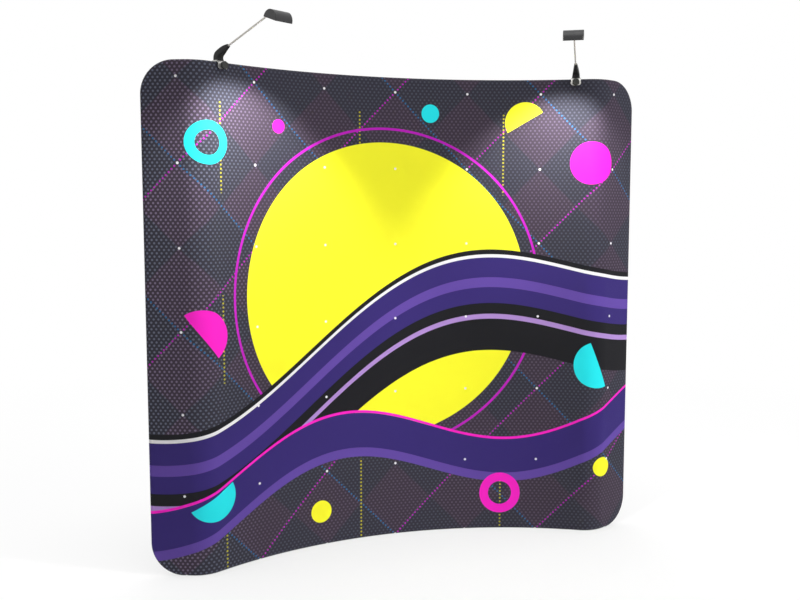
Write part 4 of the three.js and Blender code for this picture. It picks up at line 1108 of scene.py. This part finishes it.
BORE = 4.3  # radius round the swivel pin, the rod and the screw
BRACKET_WIDTH = 47.0
BRACKET_TOP = 24.0
SADDLE = 17.8  # inner radius of the hook
HOOK_BACK = -21.7
HOOK_END = -12.0
NOSE = 22.0  # radius of the hook's front
PLATE_HALF = 25.0
PLATE_CORNER = 12.0
PLATE_BACK = 24.3
PLATE_FACE = 28.0
PLATE_LOW = -2.5  # where the plate's rounding starts

KNOB_SIDES = 6
KNOB_FLAT = 16.0
KNOB_CORNER = 18.0
INLET_RADIUS = 5.3
INLET_HEIGHT = 44.0
NECK_SQUARE = 0.4  # 1 is an oval section, 0 a square one

ROD_SLOPE = radians(19.3)
ROD_ROOT = (71.0, 81.7)
ROD_RADIUS = 4.0
ROD_BORE = 2.6
TILT_REACH = 360.0
TILT_HEIGHT = ROD_ROOT[1] + (TILT_REACH - ROD_ROOT[0]) * tan(ROD_SLOPE)
ROD_LENGTH = (TILT_REACH - ROD_ROOT[0]) / cos(ROD_SLOPE)
ROD_END = ROD_LENGTH - 6.0
NECK_SOCKET = 13.0
KNUCKLE = 5.0  # radius and half width
TILT_BORE = 2.3

SHADE_CENTRE = (43.0, -25.0)
SHADE_RADIUS = 38.3
SHADE_WALL = 2.0
SHADE_WIDTH = 92.0
CHEEK = 2.5
EAR = 3.0
SLACK = 0.3
SHADE_BODY_WIDTH = SHADE_WIDTH - 2 * (CHEEK + SLACK)
LENS_RISE = 2.5
LENS_THICKNESS = 1.5
LAMP_PLACE = (0.0, 43.0, -28.0)

NECK_HEEL = [(-20.3, 24.3), (-20.8, 44), (-12.5, 61.5), (15.5, 76.6), (40, 84.5), (64.4, 87.2)]
NECK_THROAT = [(15.3, 24.3), (11.8, 32), (17.5, 41.5), (33.8, 50.2), (52, 62.2), (72.3, 75.3)]
NECK_WIDTHS = [38.5, 36, 31, 24, 17.5, 12.4]


def local(x, reach, height):
    """A point of a light's own frame, in metres."""
    return Vector((x, -reach, height)) * MM


def arc(centre, radius, start, end, count):
    """Points of an arc in a plane, in millimetres, with angles in degrees."""
    return [
        (
            centre[0] + radius * cos(radians(angle)),
            centre[1] + radius * sin(radians(angle)),
        )
        for angle in steps(start, end, count)
    ]


def side_prism(name, outline, width, middle=0.0):
    """A closed outline of (reach, height), extruded along X."""
    sides = (middle - width / 2, middle + width / 2)
    return rings_mesh(name, [[local(x, reach, height) for reach, height in outline] for x in sides])


def reach_revolve(name, profile, height=0.0, sides=40):
    """A revolve about the reach axis, from (radius, reach)."""
    across, up = Vector((1, 0, 0)), Vector((0, 0, 1))
    rings = []
    for radius, reach in profile:
        rings.append(circle(local(0, reach, height), across, up, radius * MM, sides))
    return rings_mesh(name, rings)


def x_bar(name, radius, half, centre=(0.0, 0.0), sides=32):
    return rod_between(name, local(-half, *centre), local(half, *centre), radius * MM, sides)


def along_rod(distance):
    """The point of the rod's axis past the rod's root, in metres."""
    reach = ROD_ROOT[0] + distance * cos(ROD_SLOPE)
    return local(0, reach, ROD_ROOT[1] + distance * sin(ROD_SLOPE))


def bracket_mesh():
    """Hook over the rail, with a plate in front for the screw."""
    chamfer = 1.3
    outline = [(-SADDLE, HOOK_END), *arc((0, 0), SADDLE, 180, 90, 14), (SADDLE - 1, SADDLE)]
    outline += [(PLATE_BACK, 11.5), (PLATE_BACK, PLATE_LOW), (PLATE_FACE, PLATE_LOW)]
    outline += arc((PLATE_FACE - NOSE, BRACKET_TOP - NOSE), NOSE, 0, 90, 20)
    outline += [(HOOK_BACK + chamfer, BRACKET_TOP), (HOOK_BACK, BRACKET_TOP - chamfer)]
    outline += [(HOOK_BACK, HOOK_END)]
    body = side_prism("bracket", outline, BRACKET_WIDTH)
    corner = PLATE_HALF - PLATE_CORNER
    plate = [(-PLATE_HALF, 2), *arc((-corner, PLATE_LOW), PLATE_CORNER, 180, 270, 10)]
    plate += [*arc((corner, PLATE_LOW), PLATE_CORNER, 270, 360, 10), (PLATE_HALF, 2)]
    faces = [[local(x, reach, z) for x, z in plate] for reach in (PLATE_BACK, PLATE_FACE)]
    join(body, rings_mesh("plate", faces))
    hole = reach_revolve("hole", [(BORE, 20), (BORE, 33)])
    pin = rod_between("pin", local(0, 0, 19), local(0, 0, 32), BORE * MM)
    cut(body, hole, pin)
    return bevelled(body, 0.7 * MM, 3)


def knob_mesh():
    """Six-sided knob with rounded corners and a dished face, on its hub and screw."""
    around = 96
    flat_turn = 2 * pi / KNOB_SIDES

    def ring(reach, scale):
        points = []
        for i in range(around):
            angle = 2 * pi * i / around
            off_flat = angle - flat_turn * round(angle / flat_turn)
            radius = min(KNOB_FLAT / cos(off_flat), KNOB_CORNER) * scale
            points.append(local(radius * cos(angle), reach, radius * sin(angle)))
        return points

    profile = [(33.0, 0.5), (33.0, 0.93), (33.3, 0.975), (34.2, 1.0), (45.2, 1.0), (46.2, 0.975)]
    profile += [(46.5, 0.93), (46.5, 0.66), (45.7, 0.60), (45.1, 0.50), (44.9, 0.20)]
    made = rings_mesh("knob", [ring(reach, scale) for reach, scale in profile])
    hub = reach_revolve("hub", [(8.6, 29.5), (9, 29.9), (9, 34.5)])
    screw = reach_revolve("screw", [(3, 19.1), (4, 20.1), (4, 31.5)], sides=24)
    return join(made, hub, screw)


def spline(points, share):
    """Uniform spline through points, with its end points doubled."""
    place = (len(points) - 1) * share
    i = min(int(place), len(points) - 1)
    t = place - i
    last = len(points) - 1
    p0, p1 = points[max(i - 1, 0)], points[i]
    p2, p3 = points[min(i + 1, last)], points[min(i + 2, last)]
    result = []
    for a, b, c, d in zip(p0, p1, p2, p3):
        v0, v1 = (c - a) / 2, (d - b) / 2
        value = (2 * b - 2 * c + v0 + v1) * t**3
        value += (3 * c - 3 * b - 2 * v0 - v1) * t**2 + v0 * t + b
        result.append(value)
    return result


def neck_mesh():
    """Elbow from the bracket to the rod, through rings between its heel and its throat."""

    def squared(value):
        return copysign(abs(value) ** NECK_SQUARE, value)

    lines = zip(NECK_HEEL, NECK_THROAT, NECK_WIDTHS)
    sections = [(*heel, *throat, width) for heel, throat, width in lines]
    rings = []
    for share in steps(0, 1, 40):
        *heel, throat_reach, throat_height, width = spline(sections, share)
        centre = ((heel[0] + throat_reach) / 2, (heel[1] + throat_height) / 2)
        arm = (throat_reach - centre[0], throat_height - centre[1])
        ring = []
        for angle in steps(pi / 48, 2 * pi - pi / 48, 47):
            across, depth = squared(cos(angle)), squared(sin(angle))
            reach, height = centre[0] + arm[0] * depth, centre[1] + arm[1] * depth
            ring.append(local(-width / 2 * across, reach, height))
        rings.append(ring)
    made = rings_mesh("neck", rings)
    pin = rod_between("bore", local(0, 0, 19), local(0, 0, 36.3), BORE * MM)
    rod = rod_between("bore", along_rod(-NECK_SOCKET - SLACK), along_rod(10), BORE * MM)
    inlet = reach_revolve("bore", [(INLET_RADIUS, -27), (INLET_RADIUS, -8.7)], INLET_HEIGHT)
    cut(made, pin, rod, inlet)
    smoothed(made.data)
    return made


def arm_mesh():
    """Tube with softly rounded ends."""
    axis = (along_rod(1) - along_rod(0)).normalized()
    one = Vector((1, 0, 0))
    two = axis.cross(one)
    rim = ROD_RADIUS - SLACK
    profile = [(ROD_BORE, -NECK_SOCKET), (rim, -NECK_SOCKET), (ROD_RADIUS, SLACK - NECK_SOCKET)]
    profile += [(ROD_RADIUS, place) for place in steps(0.0, ROD_END - SLACK, 12)]
    profile += [(rim, ROD_END), (ROD_BORE, ROD_END)]
    rings = [circle(along_rod(place), one, two, radius * MM, 32) for radius, place in profile]
    return rings_mesh("arm", rings, closed=True)


def knuckle_mesh():
    pivot = (TILT_REACH, TILT_HEIGHT)
    barrel = x_bar("knuckle", KNUCKLE, KNUCKLE, pivot, 40)
    sleeve_ends = along_rod(ROD_LENGTH - 14), along_rod(ROD_LENGTH - 2)
    join(barrel, rod_between("sleeve", *sleeve_ends, KNUCKLE * MM, 32))
    socket = rod_between("socket", along_rod(ROD_LENGTH - 30), along_rod(ROD_END + SLACK), BORE * MM)
    cut(barrel, socket, x_bar("hole", TILT_BORE, 20, pivot))
    return bevelled(barrel, 0.35 * MM, 2, 40)


def shade_mesh():
    """Half-round shell, with two ears to the tilt pin."""
    outer = arc(SHADE_CENTRE, SHADE_RADIUS, 0, 180, 64)
    inner = arc(SHADE_CENTRE, SHADE_RADIUS - SHADE_WALL, 180, 0, 64)
    made = side_prism("shade", outer + inner, SHADE_BODY_WIDTH)
    toward = degrees(atan2(-SHADE_CENTRE[1], -SHADE_CENTRE[0]))
    ear = arc(SHADE_CENTRE, SHADE_RADIUS - SHADE_WALL / 2, toward + 13, toward - 13, 1)
    ear += arc((0, 0), KNUCKLE, toward - 110, toward - 250, 16)
    for end in (1, -1):
        join(made, side_prism("ear", ear, EAR, end * (KNUCKLE + SLACK + EAR / 2)))
    cut(made, x_bar("hole", TILT_BORE, 20))
    return bevelled(made, 0.35 * MM, 2, 40)


def cheek_mesh(end):
    outline = arc(SHADE_CENTRE, SHADE_RADIUS, 0, 180, 64)
    made = side_prism("cheek", outline, CHEEK, end * (SHADE_WIDTH - CHEEK) / 2)
    return bevelled(made, 0.6 * MM, 3, 40)


def lens_mesh():
    inside = SHADE_RADIUS - SHADE_WALL
    half = sqrt(inside**2 - (LENS_RISE + LENS_THICKNESS) ** 2) - 2 * SLACK
    left, right = SHADE_CENTRE[0] - half, SHADE_CENTRE[0] + half
    low = SHADE_CENTRE[1] + LENS_RISE
    high = low + LENS_THICKNESS
    outline = [(left, low), (right, low), (right, high), (left, high)]
    return bevelled(side_prism("lens", outline, SHADE_BODY_WIDTH), 0.3 * MM, 2)


def light_frames(side):
    """The matrices of the clamp, the arm and the head. The rail is straight between two of
    its bends here."""
    bends = [edge(RAIL_JOINT + SPIGOT_LENGTH, side), edge(ARC_LENGTH, side)]
    share = (LIGHT_RUN - RAIL_JOINT - SPIGOT_LENGTH) / (ARC_LENGTH - RAIL_JOINT - SPIGOT_LENGTH)
    point = bends[0]["point"].lerp(bends[1]["point"], share)
    front = bends[0]["front"].lerp(bends[1]["front"], share)
    heading = atan2(front.x, -front.y)
    clamp = Matrix.Translation(point) @ Matrix.Rotation(heading, 4, "Z")
    arm = clamp @ Matrix.Rotation(-side * LIGHT_HEADING - heading, 4, "Z")
    pivot = local(0, TILT_REACH, TILT_HEIGHT)
    head = arm @ Matrix.Translation(pivot) @ Matrix.Rotation(SHADE_TILT, 4, "X")
    return clamp, arm, head


def build_light(side, label):
    clamp, arm, head = light_frames(side)
    for made, matrix, node, body, slot, material in (
        (bracket_mesh(), clamp, "lamp_bracket", "wall", "bracket_metal", BRACKET),
        (knob_mesh(), clamp, "clamp_knob", f"clamp_knob_{label}", "knob_plastic", KNOB),
        (neck_mesh(), arm, "lamp_neck", f"light_arm_{label}", "neck_plastic", NECK),
        (arm_mesh(), arm, "lamp_arm", f"light_arm_{label}", "rod_metal", ROD),
        (knuckle_mesh(), arm, "arm_knuckle", f"light_arm_{label}", "neck_plastic", NECK),
        (shade_mesh(), head, "lamp_shade", f"light_head_{label}", "shade_paint", SHADE),
        (cheek_mesh(1), head, "shade_cheek_a", f"light_head_{label}", "shade_paint", SHADE),
        (cheek_mesh(-1), head, "shade_cheek_b", f"light_head_{label}", "shade_paint", SHADE),
        (lens_mesh(), head, "lamp_lens", f"light_head_{label}", "lens_clear", LENS),
    ):
        made.name = f"{node}_{label}_fine"
        made.data.transform(matrix)
        placed(made, body, slot, material, f"{node}_{label}")

    source = new_light(f"lamp_{label}", "SPOT", energy=LAMP_POWER, color=LAMP_COLOUR, **LAMP_BEAM)
    inward = Matrix.Rotation(side * LAMP_TURN, 4, "Y")
    source.matrix_world = head @ Matrix.Translation(local(*LAMP_PLACE)) @ inward
    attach(source, f"light_head_{label}")

# ---- carried-over nodes

CARRIED = (
    ("snap_button_", STEEL),
    ("zip_slider", STEEL),
    ("zip_pull", STEEL),
    ("clamp_pad_", RUBBER),
    ("swivel_pin_", STEEL),
    ("tilt_pin_", STEEL),
    ("power_inlet_", NECK),
    ("led_board_", BOARD),
)


def dress_nodes():
    for start, material in CARRIED:
        for name, node in frame["nodes"].items():
            if name.startswith(start):
                node.data.materials.clear()
                node.data.materials.append(material)


# ---- floor and room


def floor_surface():
    """Pale floor that lights the wall as it is. The camera sees it brighter, with painted shade
    in nooks where nearby things shut it in, and white far off."""
    made = Surface("floor")
    cloud = made.noise(made.here(), 2.0, 3.0)
    pale = made.mix(cloud, (0.80, 0.80, 0.80, 1), (0.82, 0.82, 0.82, 1))
    made.set(Base_Color=pale, Roughness=0.9, Specular_IOR_Level=0.0)
    lit = made.node("BsdfDiffuse", (FLOOR_SEEN, FLOOR_SEEN, FLOOR_SEEN, 1))
    # painted shade: ambient occlusion dims the floor's glow near the wall
    painted_nook_shade = made.add("AmbientOcclusion")
    made.put(FLOOR_SHADE_DISTANCE, painted_nook_shade.inputs["Distance"])
    level = made.step(painted_nook_shade.outputs["AO"], 0.0, 1.0, *FLOOR_LIFT)
    glow = made.node("Emission", WHITE_LIGHT, level)
    bright = made.node("AddShader", lit, glow)
    far = made.step(made.size("LENGTH", made.here()), *FLOOR_FADE)
    white = made.node("Emission", WHITE_LIGHT)
    view = made.node("MixShader", far, bright, white)
    made.choose(made.seen(), made.shader.outputs[0], view)
    return made.material


def build_floor():
    across, up = Vector((1, 0, 0)), Vector((0, 1, 0))
    radii = (30.0, 12.0, 5.0, 2.0, 0.01)
    points, faces = skin([circle(Vector((0, 0, 0)), across, up, radius, 96) for radius in radii])
    del faces[-2]  # the cap on the widest ring
    floor = make("floor", points, faces)
    floor.data.materials.append(floor_surface())


def build_room():
    """Even light from all round, with white behind whatever the camera sees."""
    world = bpy.data.worlds.new("studio")
    scene.world = world
    world.use_nodes = True
    made = Shading(world.node_tree, "OutputWorld")
    light = made.node("Background", WHITE_LIGHT, WORLD_LEVEL)
    white = made.node("Background", WHITE_LIGHT)
    made.choose(made.seen(), light, white)
    for name, place, aim, size, power in STUDIO_LIGHTS:
        shape = {"shape": "RECTANGLE", "size": size[0], "size_y": size[1]}
        source = new_light(name, "AREA", energy=power, **shape)
        source.location = place
        toward = Vector(aim) - Vector(place)
        source.rotation_euler = toward.to_track_quat("-Z", "Y").to_euler()
        source.visible_camera = False
        source.visible_glossy = name == "top"


build_floor()
build_room()
tubes = build_tubes()
build_cover()
build_zip()
for side, label in SIDES:
    build_light(side, label)
dress_nodes()

scene.view_settings.view_transform = "Standard"
